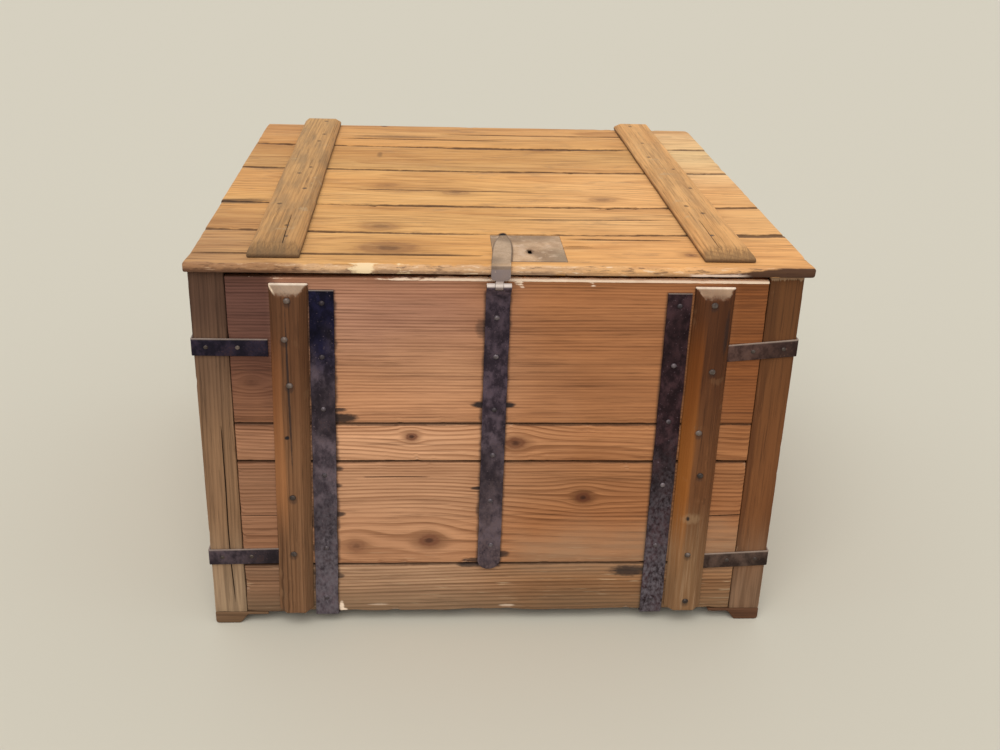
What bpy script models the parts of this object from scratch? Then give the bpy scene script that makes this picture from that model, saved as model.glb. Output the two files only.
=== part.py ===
"""Grain chest: a boarded pine box bound with iron, with a boarded lid, a hinged hasp and a lid lock.

Metres, +Z up, the front towards -Y. The origin is on the floor, in the middle of the chest's overall box.
"""
import math

import bmesh
import bpy
from mathutils import Matrix, Vector

# Clearances
FIT = 0.0003              # between pieces that touch
KNUCKLE_GAP = 0.0006      # between neighbouring knuckles on one pin

# Carcase: corner posts with boards tongued between them
BODY_W = 1.050
BODY_D = 1.072
BODY_H = 0.6775           # lower edge to upper edge of the wall boards
POST = 0.060
BOARD_T = 0.024
TONGUE_T = 0.010
TONGUE_L = 0.012
BOARD_ARRIS = 0.0012
FRONT_SHARES = (0.158, 0.323, 0.111)   # of the height, from the bottom up; the top board takes the rest
SIDE_SHARES = (0.317, 0.354)           # the same for the side walls and the back wall

# Floor
FLOOR_T = 0.022
FLOOR_COUNT = 4
BEARER_W = 0.045
BEARER_H = 0.040

# Bracket feet: a flat base, an ogee and a thin wing under the wall
FOOT_H = 0.024
FOOT_BASE = 0.044
FOOT_OGEE = 0.020
FOOT_WING = 0.036
FOOT_WING_T = 0.005
FOOT_ROUND = 0.006

# Upright battens on the front
BATTEN_W = 0.066
BATTEN_T = 0.022
BATTEN_CHAMFER = 0.0145   # width of each sloping side
BATTEN_LEFT_SHARE = -0.3443   # place from the middle, of the chest's width
BATTEN_RIGHT_SHARE = 0.3505
BATTEN_DROP = 0.012       # top of the batten below the top of the wall
BATTEN_LIFT = 0.002       # foot of the batten above the foot of the wall
BATTEN_SLOPE = 0.018      # height of the sloping top end
BATTEN_TIP_T = 0.004      # thickness left at the very top

# Iron straps
STRAP_W = 0.042
STRAP_T = 0.004
STRAP_GAP = 0.004         # strap beside batten
STRAP_DROP = 0.024        # top of the outer straps below the top of the wall
CENTRE_STRAP_SHARE = 0.1446   # foot of the centre strap above the foot of the wall, of its height
BAND_H = 0.032
BAND_T = 0.003
BAND_GAP = 0.003          # end of the side band beside the batten
BAND_LEG = 0.130          # reach round the corner onto the back
LOWER_BAND_SHARE = 0.180      # middle of the band above the foot of the wall, of its height
UPPER_BAND_SHARE = 0.806

# Lid
LID_T = 0.018
LID_GAP = 0.0085          # between the wall boards and the lid, which rests on the posts
LID_FRONT = 0.014         # overhangs
LID_BACK = 0.014
LID_SIDE = 0.008
LID_PLANK_MARGIN = 0.024  # of the front plank, behind the lock plate
LID_SHARES = (0.202, 0.304, 0.255)   # of the lid behind the front plank; the back plank takes the rest
LID_BATTEN_W = 0.088
LID_BATTEN_T = 0.020
LID_BATTEN_SHARE = 0.3714 # place from the middle, of the chest's width
LID_BATTEN_INSET = 0.027  # from the lid's front edge
LID_BATTEN_EDGE = 0.008   # upright part of the batten's edges
LID_BATTEN_CHAMFER = 0.011
LID_BATTEN_SLOPE = 0.025  # length of the sloping ends

# Strap hinges at the back
EYE_R = 0.0065
PIN_R = 0.0030
HINGE_SHARE = 0.2857      # place from the middle, of the chest's width
LEAF_T = 0.004
LEAF_SHARE = 0.224        # leaf's length, of the chest's depth
LEAF_CLEAR = 0.001        # leaf to the strap's knuckles

# Hasp on the centre strap
HASP_X = -0.0035
HASP_W = 0.033
HASP_T = 0.0035
HASP_L = 0.169            # lid's front edge to the tip
HASP_TIP_W = 0.024
HASP_SKEW = 0.014         # the tip stands this far to the right of the knuckle
HASP_LIFT = 0.002         # height of the curled tip
HASP_CURL = 0.012         # length of the curled tip
HASP_EYE_R = 0.006
HASP_PIN_R = 0.0025
HASP_PIN_DROP = 0.0085    # pin below the top of the wall
HASP_CLEAR = 0.001        # hasp in front of the lid's edge
HASP_BEND = 0.006         # outer radius where it turns over the lid
HASP_SHOULDER = 0.010     # full width begins this far above the pin
JOGGLE = 0.020            # height over which the strap comes forward to the pin

# Staple on the hasp, and the lock that takes it
STAPLE_Y = 0.087          # from the plate's front edge
STAPLE_T = 0.005
STAPLE_W = 0.024
STAPLE_NECK = 0.008       # solid part above the eye
STAPLE_WALL = 0.004
STAPLE_CLEAR = 0.0015     # slot round the staple
STAPLE_SWING = 0.006      # more of the slot in front, for the staple's swing
PLATE_W = 0.126
PLATE_L = 0.150
PLATE_T = 0.003
PLATE_LEFT = 0.0085       # plate's left edge from the hasp's axis
PLATE_INSET = 0.022       # plate's front edge from the lid's front edge
KEYHOLE_X = 0.065         # from the plate's left edge
KEYHOLE_Y = 0.057         # from the plate's front edge
KEYHOLE_L = 0.025
KEYHOLE_W = 0.007
BOLT_L = 0.058
BOLT_W = 0.012
BOLT_H = 0.008
BOLT_CLEAR = 0.0015       # bolt in the staple's eye
BOLT_BACK = 0.006         # bolt's tip from the staple when drawn back
BOLT_NOTCH = 0.010        # notch that the key turns in
CASE_WALL = 0.003
CASE_CLEAR = 0.008        # case behind the front boards
CASE_MARGIN = 0.003       # case inside the plate's ends
CASE_WELL = 0.004         # floor below the staple
RAIL_L = 0.050
SPRING_ROOM = 0.016
SPRING_T = 0.0012
SPRING_H = 0.006
SPRING_L = 0.046
KEEPER_T = 0.003
KEEPER_W = 0.010

ROUND_STEPS = 16          # points in a full turn of a knuckle or a pin
CURVE_STEPS = 8           # points in an ogee, a bowed leaf or a round end
BEND_STEPS = 4            # points in a bend or a rounded corner
SHARP_ANGLE = math.radians(30)   # edges sharper than this lose their arris

# Levels and faces that everything else is set from
WALL_Z0 = FOOT_H + FIT
WALL_Z1 = WALL_Z0 + BODY_H
LID_Z0 = WALL_Z1 + LID_GAP
LID_Z1 = LID_Z0 + LID_T
PIN_FORWARD = LID_FRONT + HASP_CLEAR + HASP_EYE_R
FRONT_REACH = PIN_FORWARD + HASP_EYE_R
FRONT_Y = FRONT_REACH - (FRONT_REACH + BODY_D + LID_BACK) / 2
BACK_Y = FRONT_Y + BODY_D
MID_Y = FRONT_Y + BODY_D / 2
SIDE_X = BODY_W / 2
LID_FRONT_Y = FRONT_Y - LID_FRONT
LID_BACK_Y = BACK_Y + LID_BACK
LID_X = SIDE_X + LID_SIDE
BATTEN_LEFT_X = BODY_W * BATTEN_LEFT_SHARE
BATTEN_RIGHT_X = BODY_W * BATTEN_RIGHT_SHARE
LID_BATTEN_X = BODY_W * LID_BATTEN_SHARE
HINGE_X = BODY_W * HINGE_SHARE
HASP_PIN = Vector((HASP_X, FRONT_Y - PIN_FORWARD, WALL_Z1 - HASP_PIN_DROP))
HINGE_PIN = Vector((0, BACK_Y + FIT + EYE_R, LID_Z0 - FIT - EYE_R))

for leftover in list(bpy.data.objects):
    bpy.data.objects.remove(leftover, do_unlink=True)

parts = bpy.data.collections.new("grain_chest")
cutters = bpy.data.collections.new("cutters")
bpy.context.scene.collection.children.link(parts)
bpy.context.scene.collection.children.link(cutters)


def make_material(name, colour, roughness, metallic):
    material = bpy.data.materials.new(name)
    material.use_nodes = True
    shader = material.node_tree.nodes["Principled BSDF"]
    shader.inputs["Base Color"].default_value = (*colour, 1)
    shader.inputs["Roughness"].default_value = roughness
    shader.inputs["Metallic"].default_value = metallic
    return material


front_pine = make_material("front_pine", (0.45, 0.16, 0.06), 0.55, 0)
lid_pine = make_material("lid_pine", (0.62, 0.33, 0.12), 0.55, 0)
inner_pine = make_material("inner_pine", (0.50, 0.27, 0.12), 0.70, 0)
post_wood = make_material("post_wood", (0.24, 0.13, 0.05), 0.65, 0)
batten_wood = make_material("batten_wood", (0.22, 0.11, 0.04), 0.60, 0)
strap_iron = make_material("strap_iron", (0.035, 0.026, 0.032), 0.55, 0.6)
hasp_steel = make_material("hasp_steel", (0.38, 0.29, 0.21), 0.50, 0.5)
pin_iron = make_material("pin_iron", (0.06, 0.05, 0.05), 0.45, 0.7)


def put(mesh, name, material, collection=parts):
    """An object whose origin is in the middle of its mesh, which is given in world coordinates."""
    low = Vector([min(v.co[i] for v in mesh.vertices) for i in range(3)])
    high = Vector([max(v.co[i] for v in mesh.vertices) for i in range(3)])
    middle = (low + high) / 2
    mesh.transform(Matrix.Translation(-middle))
    mesh.name = name
    piece = bpy.data.objects.new(name, mesh)
    piece.location = middle
    collection.objects.link(piece)
    if material:
        mesh.materials.clear()
        mesh.materials.append(material)
    return piece


def block(name, low, high, material, collection=parts):
    """A rectangular piece between two corners."""
    shape = bmesh.new()
    bmesh.ops.create_cube(shape, size=1)
    low, high = Vector(low), Vector(high)
    bmesh.ops.scale(shape, vec=high - low, verts=shape.verts)
    bmesh.ops.translate(shape, vec=(low + high) / 2, verts=shape.verts)
    mesh = bpy.data.meshes.new(name)
    shape.to_mesh(mesh)
    shape.free()
    return put(mesh, name, material, collection)


# The plane that an outline is drawn in, by the axis that it is drawn out along
OUTLINE_AXES = {
    "X": Matrix(((0, 0, 1, 0), (1, 0, 0, 0), (0, 1, 0, 0), (0, 0, 0, 1))),
    "Y": Matrix(((1, 0, 0, 0), (0, 0, -1, 0), (0, 1, 0, 0), (0, 0, 0, 1))),
    "Z": Matrix.Identity(4),
}
WELD = 0.00001


def prism(name, loops, axis, start, end, material, collection=parts):
    """A flat outline of one or more loops, drawn out along an axis: (y, z), (x, z) or (x, y) points."""
    curve = bpy.data.curves.new(name, "CURVE")
    curve.dimensions = "2D"
    curve.fill_mode = "BOTH"
    curve.extrude = (end - start) / 2
    for loop in loops:
        spline = curve.splines.new("POLY")
        spline.points.add(len(loop) - 1)
        for point, (across, up) in zip(spline.points, loop):
            point.co = (across, up, 0, 1)
        spline.use_cyclic_u = True
    draft = bpy.data.objects.new(name, curve)
    place = Vector((0, 0, 0))
    place["XYZ".index(axis)] = (start + end) / 2
    draft.matrix_world = Matrix.Translation(place) @ OUTLINE_AXES[axis]
    parts.objects.link(draft)
    bpy.context.view_layer.update()
    depsgraph = bpy.context.evaluated_depsgraph_get()
    mesh = bpy.data.meshes.new_from_object(draft.evaluated_get(depsgraph))
    mesh.transform(draft.matrix_world)
    shape = bmesh.new()
    shape.from_mesh(mesh)
    bmesh.ops.remove_doubles(shape, verts=shape.verts, dist=WELD)
    bmesh.ops.recalc_face_normals(shape, faces=shape.faces)
    shape.to_mesh(mesh)
    shape.free()
    bpy.data.objects.remove(draft, do_unlink=True)
    bpy.data.curves.remove(curve)
    return put(mesh, name, material, collection)


def slice_off(piece, point, normal):
    """Saw a piece off square to normal at a point, and keep what lies behind the cut."""
    shape = bmesh.new()
    shape.from_mesh(piece.data)
    geometry = shape.verts[:] + shape.edges[:] + shape.faces[:]
    cut = bmesh.ops.bisect_plane(
        shape, geom=geometry, dist=WELD, plane_co=Vector(point) - piece.location,
        plane_no=Vector(normal), clear_outer=True)
    edges = [item for item in cut["geom_cut"] if isinstance(item, bmesh.types.BMEdge)]
    bmesh.ops.edgeloop_fill(shape, edges=edges)
    bmesh.ops.recalc_face_normals(shape, faces=shape.faces)
    shape.to_mesh(piece.data)
    shape.free()


def cut(piece, cutter, operation="DIFFERENCE"):
    """Cut a piece with another shape, which is kept as a hidden guide."""
    cutter.hide_render = True
    cutter.display_type = "WIRE"
    boolean = piece.modifiers.new(cutter.name, "BOOLEAN")
    boolean.operation = operation
    boolean.solver = "EXACT"
    boolean.object = cutter


def ease_edges(piece, width):
    """Take the sharp arrises off a sawn board, and leave its inner corners sharp."""
    shape = bmesh.new()
    shape.from_mesh(piece.data)
    weight = shape.edges.layers.float.new("bevel_weight_edge")
    for edge in shape.edges:
        sharp = edge.calc_face_angle(0) > SHARP_ANGLE
        edge[weight] = 1.0 if sharp and edge.is_convex else 0.0
    shape.to_mesh(piece.data)
    shape.free()
    bevel = piece.modifiers.new("arris", "BEVEL")
    bevel.width = width
    bevel.segments = 1
    bevel.limit_method = "WEIGHT"


def arc(centre, radius, start, end, steps):
    """Points on an arc from one angle to another, in degrees."""
    angles = [math.radians(start + (end - start) * i / steps) for i in range(steps + 1)]
    return [(centre[0] + radius * math.cos(a), centre[1] + radius * math.sin(a)) for a in angles]


def circle(centre, radius):
    return arc(centre, radius, 0, 360, ROUND_STEPS)[:-1]


def joint_empty(name, place, parent=None):
    """An empty on a joint's axis, which carries the pieces that move with it."""
    empty = bpy.data.objects.new(name, None)
    empty.location = place
    parts.objects.link(empty)
    if parent:
        carry(parent, [empty])
    return empty


def carry(empty, pieces):
    bpy.context.view_layer.update()
    for piece in pieces:
        piece.parent = empty
        piece.matrix_parent_inverse = empty.matrix_world.inverted()


def add_posts():
    """Square posts at the corners, grooved on two faces for the boards' tongues."""
    groove_0 = (BOARD_T - TONGUE_T) / 2 - FIT
    groove_1 = groove_0 + TONGUE_T + 2 * FIT
    bottom = POST - TONGUE_L - FIT
    half = [(0, 0), (POST, 0), (POST, groove_0), (bottom, groove_0), (bottom, groove_1), (POST, groove_1)]
    mirrored = [(b, a) for a, b in reversed(half[1:])]
    section = half + [(POST, POST)] + mirrored
    for side, sign_x in (("left", 1), ("right", -1)):
        for end, sign_y, face_y in (("front", 1, FRONT_Y), ("back", -1, BACK_Y)):
            corner_x = -SIDE_X * sign_x
            outline = [(corner_x + a * sign_x, face_y + b * sign_y) for a, b in section]
            prism(f"post_{end}_{side}", [outline], "Z", WALL_Z0, LID_Z0 - FIT, post_wood)


def board_levels(shares):
    """Lower and upper edges of a wall's boards, from the bottom up."""
    level = WALL_Z0
    for share in shares:
        yield level, level + BODY_H * share
        level += BODY_H * share + FIT
    yield level, WALL_Z1


def add_wall(name, shares, span, to_plan, material):
    """One wall's boards, tongued into the posts at both ends and flush with them outside."""
    half = span / 2 - POST - FIT
    tongue_0 = (BOARD_T - TONGUE_T) / 2
    tongue_1 = tongue_0 + TONGUE_T
    reach = half + TONGUE_L
    tongue = [(half, tongue_0), (reach, tongue_0), (reach, tongue_1), (half, tongue_1)]
    right_end = [(half, 0)] + tongue + [(half, BOARD_T)]
    left_end = [(-along, depth) for along, depth in reversed(right_end)]
    outline = [to_plan(along, depth) for along, depth in right_end + left_end]
    for number, (low, high) in enumerate(board_levels(shares), start=1):
        board = prism(f"{name}_board_{number}", [outline], "Z", low, high, material)
        ease_edges(board, BOARD_ARRIS)


def add_walls():
    add_wall("front", FRONT_SHARES, BODY_W, lambda s, t: (s, FRONT_Y + t), front_pine)
    add_wall("back", SIDE_SHARES, BODY_W, lambda s, t: (s, BACK_Y - t), front_pine)
    add_wall("left", SIDE_SHARES, BODY_D, lambda s, t: (-SIDE_X + t, MID_Y + s), front_pine)
    add_wall("right", SIDE_SHARES, BODY_D, lambda s, t: (SIDE_X - t, MID_Y + s), front_pine)


def add_floor():
    """Floor boards across the chest, on three bearers that run from front to back."""
    inner_x = SIDE_X - BOARD_T - FIT
    front, back = FRONT_Y + BOARD_T + FIT, BACK_Y - BOARD_T - FIT
    post_front, post_back = FRONT_Y + POST + FIT, BACK_Y - POST - FIT
    bearers = {
        "left": (-inner_x, post_front, post_back),
        "centre": (-BEARER_W / 2, front, back),
        "right": (inner_x - BEARER_W, post_front, post_back),
    }
    for side, (x, low, high) in bearers.items():
        corner = (x + BEARER_W, high, WALL_Z0 + BEARER_H)
        block(f"floor_bearer_{side}", (x, low, WALL_Z0), corner, inner_pine)
    level = WALL_Z0 + BEARER_H + FIT
    width = (back - front - (FLOOR_COUNT - 1) * FIT) / FLOOR_COUNT
    post_x = SIDE_X - POST - FIT
    for number in range(FLOOR_COUNT):
        low = front + number * (width + FIT)
        high = low + width
        right = [(inner_x, low), (inner_x, high)]
        if number == 0:
            right = [(post_x, low), (post_x, post_front), (inner_x, post_front), (inner_x, high)]
        elif number == FLOOR_COUNT - 1:
            right = [(inner_x, low), (inner_x, post_back), (post_x, post_back), (post_x, high)]
        left = [(-x, y) for x, y in reversed(right)]
        board = prism(f"floor_board_{number + 1}", [right + left], "Z", level, level + FLOOR_T, inner_pine)
        ease_edges(board, BOARD_ARRIS)


def add_feet():
    """Bracket feet under the posts, with an ogee that dies into a thin wing."""
    drop = FOOT_H - FOOT_WING_T
    ogee = []
    for i in range(CURVE_STEPS + 1):
        share = i / CURVE_STEPS
        ogee.append((FOOT_BASE + FOOT_OGEE * share, drop * (1 - math.cos(math.pi * share)) / 2))
    corner = arc((FOOT_ROUND, FOOT_ROUND), FOOT_ROUND, 180, 270, BEND_STEPS)
    wing = FOOT_BASE + FOOT_OGEE + FOOT_WING
    section = corner + ogee + [(wing, drop), (wing, FOOT_H), (0, FOOT_H)]
    for side, sign in (("left", 1), ("right", -1)):
        outline = [(sign * (a - SIDE_X), z) for a, z in section]
        prism(f"foot_front_{side}", [outline], "Y", FRONT_Y, FRONT_Y + POST, post_wood)
        prism(f"foot_back_{side}", [outline], "Y", BACK_Y - POST, BACK_Y, post_wood)


def add_front_battens():
    """Upright battens with wide sloping sides and a sloping top end."""
    base = FRONT_Y - FIT
    face = base - BATTEN_T
    top = WALL_Z1 - BATTEN_DROP
    for side, x in (("left", BATTEN_LEFT_X), ("right", BATTEN_RIGHT_X)):
        half = BATTEN_W / 2
        flat = half - BATTEN_CHAMFER
        section = [(x - half, base), (x - half, base - BATTEN_TIP_T), (x - flat, face), (x + flat, face),
                   (x + half, base - BATTEN_TIP_T), (x + half, base)]
        batten = prism(f"front_batten_{side}", [section], "Z", WALL_Z0 + BATTEN_LIFT, top, batten_wood)
        slope = Vector((0, -BATTEN_SLOPE, BATTEN_T - BATTEN_TIP_T))
        slice_off(batten, (x, base - BATTEN_TIP_T, top), slope.normalized())


def turned_strap_outline(outer_sign, face, top):
    """A strap down a wall, turned under its boards: (y, z) points. outer_sign is -1 on the front."""
    near, far = face + outer_sign * FIT, face + outer_sign * (FIT + STRAP_T)
    under = face - outer_sign * BOARD_T
    sole = WALL_Z0 - FIT - STRAP_T
    bend_y = far - outer_sign * STRAP_T
    turn = arc((bend_y, sole + STRAP_T), STRAP_T, 0, -90, BEND_STEPS)
    bend = [(bend_y + outer_sign * (a - bend_y), z) for a, z in turn]
    lip = [(under, sole), (under, WALL_Z0 - FIT), (near, WALL_Z0 - FIT)]
    return [(near, top), (far, top)] + bend + lip


def strap_centres():
    """Where the outer front straps stand, beside the battens."""
    offset = BATTEN_W / 2 + STRAP_GAP + STRAP_W / 2
    return {"left": BATTEN_LEFT_X + offset, "right": BATTEN_RIGHT_X - offset}


def add_front_straps():
    outline = turned_strap_outline(-1, FRONT_Y, WALL_Z1 - STRAP_DROP)
    for side, x in strap_centres().items():
        prism(f"front_strap_{side}", [outline], "X", x - STRAP_W / 2, x + STRAP_W / 2, strap_iron)


def knuckle_third(width):
    """Half the width of the middle knuckle of three, with its gap to the outer ones left out."""
    return width / 6 - KNUCKLE_GAP / 2


def middle_gap(name, x, width, low, high):
    """A cutter for the gap between two outer knuckles: (y, z) corners."""
    half = knuckle_third(width) + KNUCKLE_GAP
    return block(name, (x - half, *low), (x + half, *high), None, cutters)


def side_gaps(name, x, width, low, high):
    """Cutters for the gaps on both sides of a middle knuckle."""
    half = knuckle_third(width)
    left = block(f"{name}_left", (x - width, *low), (x - half, *high), None, cutters)
    right = block(f"{name}_right", (x + half, *low), (x + width, *high), None, cutters)
    return left, right


def add_centre_strap():
    """The hasp's strap: round at its foot, brought forward at its top and rolled into two knuckles."""
    near, far = FRONT_Y - FIT, FRONT_Y - FIT - STRAP_T
    foot = WALL_Z0 + BODY_H * CENTRE_STRAP_SHARE
    pin = (HASP_PIN.y, HASP_PIN.z)
    knee = pin[1] - JOGGLE
    lead = math.degrees(math.atan2(knee - pin[1], near - pin[0]))
    eye = arc(pin, HASP_EYE_R, lead + 90, lead + 270, ROUND_STEPS // 2)
    outline = [(near, foot), (near, knee)] + eye + [(far, knee - STRAP_T), (far, foot)]
    strap = prism("centre_strap", [outline, circle(pin, HASP_PIN_R + FIT)], "X",
                  HASP_X - STRAP_W / 2, HASP_X + STRAP_W / 2, strap_iron)
    radius = STRAP_W / 2
    centre = Vector((HASP_X, near, foot + radius))
    for step in range(1, BEND_STEPS):
        angle = math.pi / 2 * step / BEND_STEPS
        for sign in (-1, 1):
            normal = Vector((sign * math.sin(angle), 0, -math.cos(angle)))
            slice_off(strap, centre + normal * radius, normal)
    reach = HASP_EYE_R + KNUCKLE_GAP
    low, high = (pin[0] - reach, pin[1] - reach), (near + FIT, pin[1] + reach)
    cut(strap, middle_gap("centre_strap_gap", HASP_X, STRAP_W, low, high))


def add_hasp():
    """The hasp: a knuckle, a leg in front of the lid's edge, and a tapered blade over the lid."""
    pin = (HASP_PIN.y, HASP_PIN.z)
    inner = LID_FRONT_Y - HASP_CLEAR
    outer = inner - HASP_T
    under, over = LID_Z1 + FIT, LID_Z1 + FIT + HASP_T
    tip = LID_FRONT_Y + HASP_L
    inner_bend = HASP_BEND - HASP_T
    start = math.degrees(math.acos((outer - pin[0]) / HASP_EYE_R))
    eye = arc(pin, HASP_EYE_R, start, 360, ROUND_STEPS)
    outline = ([(outer, over - HASP_BEND)] + eye
               + arc((inner + inner_bend, under - inner_bend), inner_bend, 180, 90, BEND_STEPS)
               + [(tip - HASP_CURL, under), (tip, under + HASP_LIFT)]
               + [(tip - HASP_T, over + HASP_LIFT), (tip - HASP_CURL - HASP_T / 2, over)]
               + arc((outer + HASP_BEND, over - HASP_BEND), HASP_BEND, 90, 180, BEND_STEPS)[:-1])
    hasp = prism("hasp", [outline, circle(pin, HASP_PIN_R + FIT)], "X",
                 HASP_X - HASP_W, HASP_X + HASP_W, hasp_steel)
    half, tip_half = HASP_W / 2, HASP_TIP_W / 2
    tip_x = HASP_X + HASP_SKEW
    near = HASP_PIN.y - HASP_EYE_R - FIT
    round_end = arc((tip_x, tip - tip_half), tip_half, 0, 180, CURVE_STEPS)
    plan = [(HASP_X - half, near), (HASP_X + half, near), (HASP_X + half, LID_FRONT_Y)] + round_end
    plan.append((HASP_X - half, LID_FRONT_Y))
    top = over + HASP_LIFT + HASP_T
    cut(hasp, prism("hasp_plan", [plan], "Z", pin[1] - HASP_EYE_R - FIT, top, None, cutters), "INTERSECT")
    low = (HASP_PIN.y - HASP_EYE_R - HASP_T, pin[1] - HASP_EYE_R - HASP_T)
    high = (inner + FIT, pin[1] + HASP_SHOULDER)
    for gap in side_gaps("hasp_gap", HASP_X, STRAP_W, low, high):
        cut(hasp, gap)
    return hasp


def rod(name, place, radius, length, material):
    """A pin along X, round its axis."""
    return prism(name, [circle((place.y, place.z), radius)], "X",
                 place.x - length / 2, place.x + length / 2, material)


def staple_place():
    """Middle of the staple in plan: on the hasp's centre line, over the lock."""
    y = LID_FRONT_Y + PLATE_INSET + STAPLE_Y
    share = (y - LID_FRONT_Y) / (HASP_L - HASP_TIP_W / 2)
    return HASP_X + HASP_SKEW * share, y


def bolt_middle_z():
    return LID_Z1 - STAPLE_NECK - BOLT_CLEAR - BOLT_H / 2


def add_staple():
    """A flat staple under the hasp, with an eye for the bolt."""
    x, y = staple_place()
    top = LID_Z1
    eye_half_y, eye_half_z = BOLT_W / 2 + BOLT_CLEAR, BOLT_H / 2 + BOLT_CLEAR
    bottom = bolt_middle_z() - eye_half_z - STAPLE_WALL
    half = STAPLE_W / 2
    round_r = STAPLE_WALL
    outline = [(y + half, top), (y - half, top)]
    outline += arc((y - half + round_r, bottom + round_r), round_r, 180, 270, BEND_STEPS)
    outline += arc((y + half - round_r, bottom + round_r), round_r, 270, 360, BEND_STEPS)
    z = bolt_middle_z()
    eye = [(y - eye_half_y, z - eye_half_z), (y + eye_half_y, z - eye_half_z),
           (y + eye_half_y, z + eye_half_z), (y - eye_half_y, z + eye_half_z)]
    return prism("hasp_staple", [outline, eye], "X", x - STAPLE_T / 2, x + STAPLE_T / 2, hasp_steel)


def plate_corner():
    """Front left corner of the lock plate."""
    return HASP_X - PLATE_LEFT, LID_FRONT_Y + PLATE_INSET


def case_corners():
    """Outer corners of the lock case in plan, and its underside."""
    left = plate_corner()[0]
    y = staple_place()[1]
    low = (left + CASE_MARGIN, FRONT_Y + BOARD_T + CASE_CLEAR)
    high = (left + PLATE_W - CASE_MARGIN, y + BOLT_W / 2 + SPRING_ROOM + CASE_WALL)
    staple_bottom = bolt_middle_z() - BOLT_H / 2 - BOLT_CLEAR - STAPLE_WALL
    return low, high, staple_bottom - CASE_WELL - CASE_WALL


def keyhole_outline():
    """A keyhole: a slot with round ends."""
    left, front = plate_corner()
    x, y = left + KEYHOLE_X, front + KEYHOLE_Y
    radius, reach = KEYHOLE_W / 2, (KEYHOLE_L - KEYHOLE_W) / 2
    back_end = arc((x, y + reach), radius, 0, 180, BEND_STEPS)
    front_end = arc((x, y - reach), radius, 180, 360, BEND_STEPS)
    return back_end + front_end


def slot_outline():
    """The slot in the plate that the staple drops through."""
    x, y = staple_place()
    half_x = STAPLE_T / 2 + STAPLE_CLEAR
    front = y - STAPLE_W / 2 - STAPLE_CLEAR - STAPLE_SWING
    back = y + STAPLE_W / 2 + STAPLE_CLEAR
    return [(x - half_x, front), (x + half_x, front), (x + half_x, back), (x - half_x, back)]


def add_lock_plate():
    """The plate let into the lid's top, with its keyhole and the staple's slot."""
    left, front = plate_corner()
    right, back = left + PLATE_W, front + PLATE_L
    loops = [[(left, front), (right, front), (right, back), (left, back)], keyhole_outline(), slot_outline()]
    return prism("lock_plate", loops, "Z", LID_Z1 - PLATE_T, LID_Z1, hasp_steel)


def rail_range():
    """The raised step in the case that the bolt slides on, along X."""
    x = staple_place()[0] + STAPLE_T / 2 + BOLT_BACK
    return x, x + RAIL_L


def add_lock_case():
    """A tray under the plate. A raised step across it carries the bolt."""
    low, high, sole = case_corners()
    top = LID_Z1 - PLATE_T - FIT
    case = block("lock_case", (*low, sole), (*high, top), strap_iron)
    inner_low = (low[0] + CASE_WALL, low[1] + CASE_WALL)
    inner_high = (high[0] - CASE_WALL, high[1] - CASE_WALL)
    step = bolt_middle_z() - BOLT_H / 2 - FIT
    well = sole + CASE_WALL
    over = top + CASE_WALL
    rail_0, rail_1 = rail_range()
    pocket = block("case_pocket", (*inner_low, step), (*inner_high, over), None, cutters)
    left = block("case_well", (*inner_low, well), (rail_0, inner_high[1], over), None, cutters)
    right = block("case_back", (rail_1, inner_low[1], well), (*inner_high, over), None, cutters)
    for cutter in (pocket, left, right):
        cut(case, cutter)
    return case


def add_lock_bolt():
    """The bolt, drawn back clear of the staple, with a notch in its front edge for the key."""
    tip = rail_range()[0]
    y = staple_place()[1]
    front, back = y - BOLT_W / 2, y + BOLT_W / 2
    notch = plate_corner()[0] + KEYHOLE_X
    depth = BOLT_W / 3
    outline = [(tip, front), (notch - BOLT_NOTCH / 2, front), (notch - BOLT_NOTCH / 2, front + depth),
               (notch + BOLT_NOTCH / 2, front + depth), (notch + BOLT_NOTCH / 2, front),
               (tip + BOLT_L, front), (tip + BOLT_L, back), (tip, back)]
    z = bolt_middle_z()
    return prism("lock_bolt", [outline], "Z", z - BOLT_H / 2, z + BOLT_H / 2, hasp_steel)


def add_bolt_keeper():
    """A bridge over the bolt, which stands on the case's step."""
    rail_0 = rail_range()[0]
    y, z = staple_place()[1], bolt_middle_z()
    inner, outer = BOLT_W / 2 + FIT, BOLT_W / 2 + FIT + KEEPER_T
    foot = z - BOLT_H / 2
    under, over = z + BOLT_H / 2 + FIT, z + BOLT_H / 2 + FIT + KEEPER_T
    outline = [(y - outer, foot), (y - inner, foot), (y - inner, under), (y + inner, under),
               (y + inner, foot), (y + outer, foot), (y + outer, over), (y - outer, over)]
    return prism("bolt_keeper", [outline], "X", rail_0 + KEEPER_T, rail_0 + KEEPER_T + KEEPER_W, strap_iron)


def add_lock_spring():
    """A bowed leaf between the case's back wall and the bolt."""
    y = staple_place()[1]
    rail_end = rail_range()[1]
    belly = y + BOLT_W / 2 + FIT
    wall = y + BOLT_W / 2 + SPRING_ROOM - FIT
    rise = wall - belly - SPRING_T
    radius = (SPRING_L ** 2 / 4 + rise ** 2) / (2 * rise)
    spread = math.degrees(math.asin(SPRING_L / 2 / radius))
    centre = (rail_end - SPRING_L / 2, belly + radius + SPRING_T)
    outer = arc(centre, radius + SPRING_T, 270 - spread, 270 + spread, CURVE_STEPS)
    inner = arc(centre, radius, 270 + spread, 270 - spread, CURVE_STEPS)
    z = bolt_middle_z() - BOLT_H / 2
    return prism("lock_spring", [outer + inner], "Z", z, z + SPRING_H, strap_iron)


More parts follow.
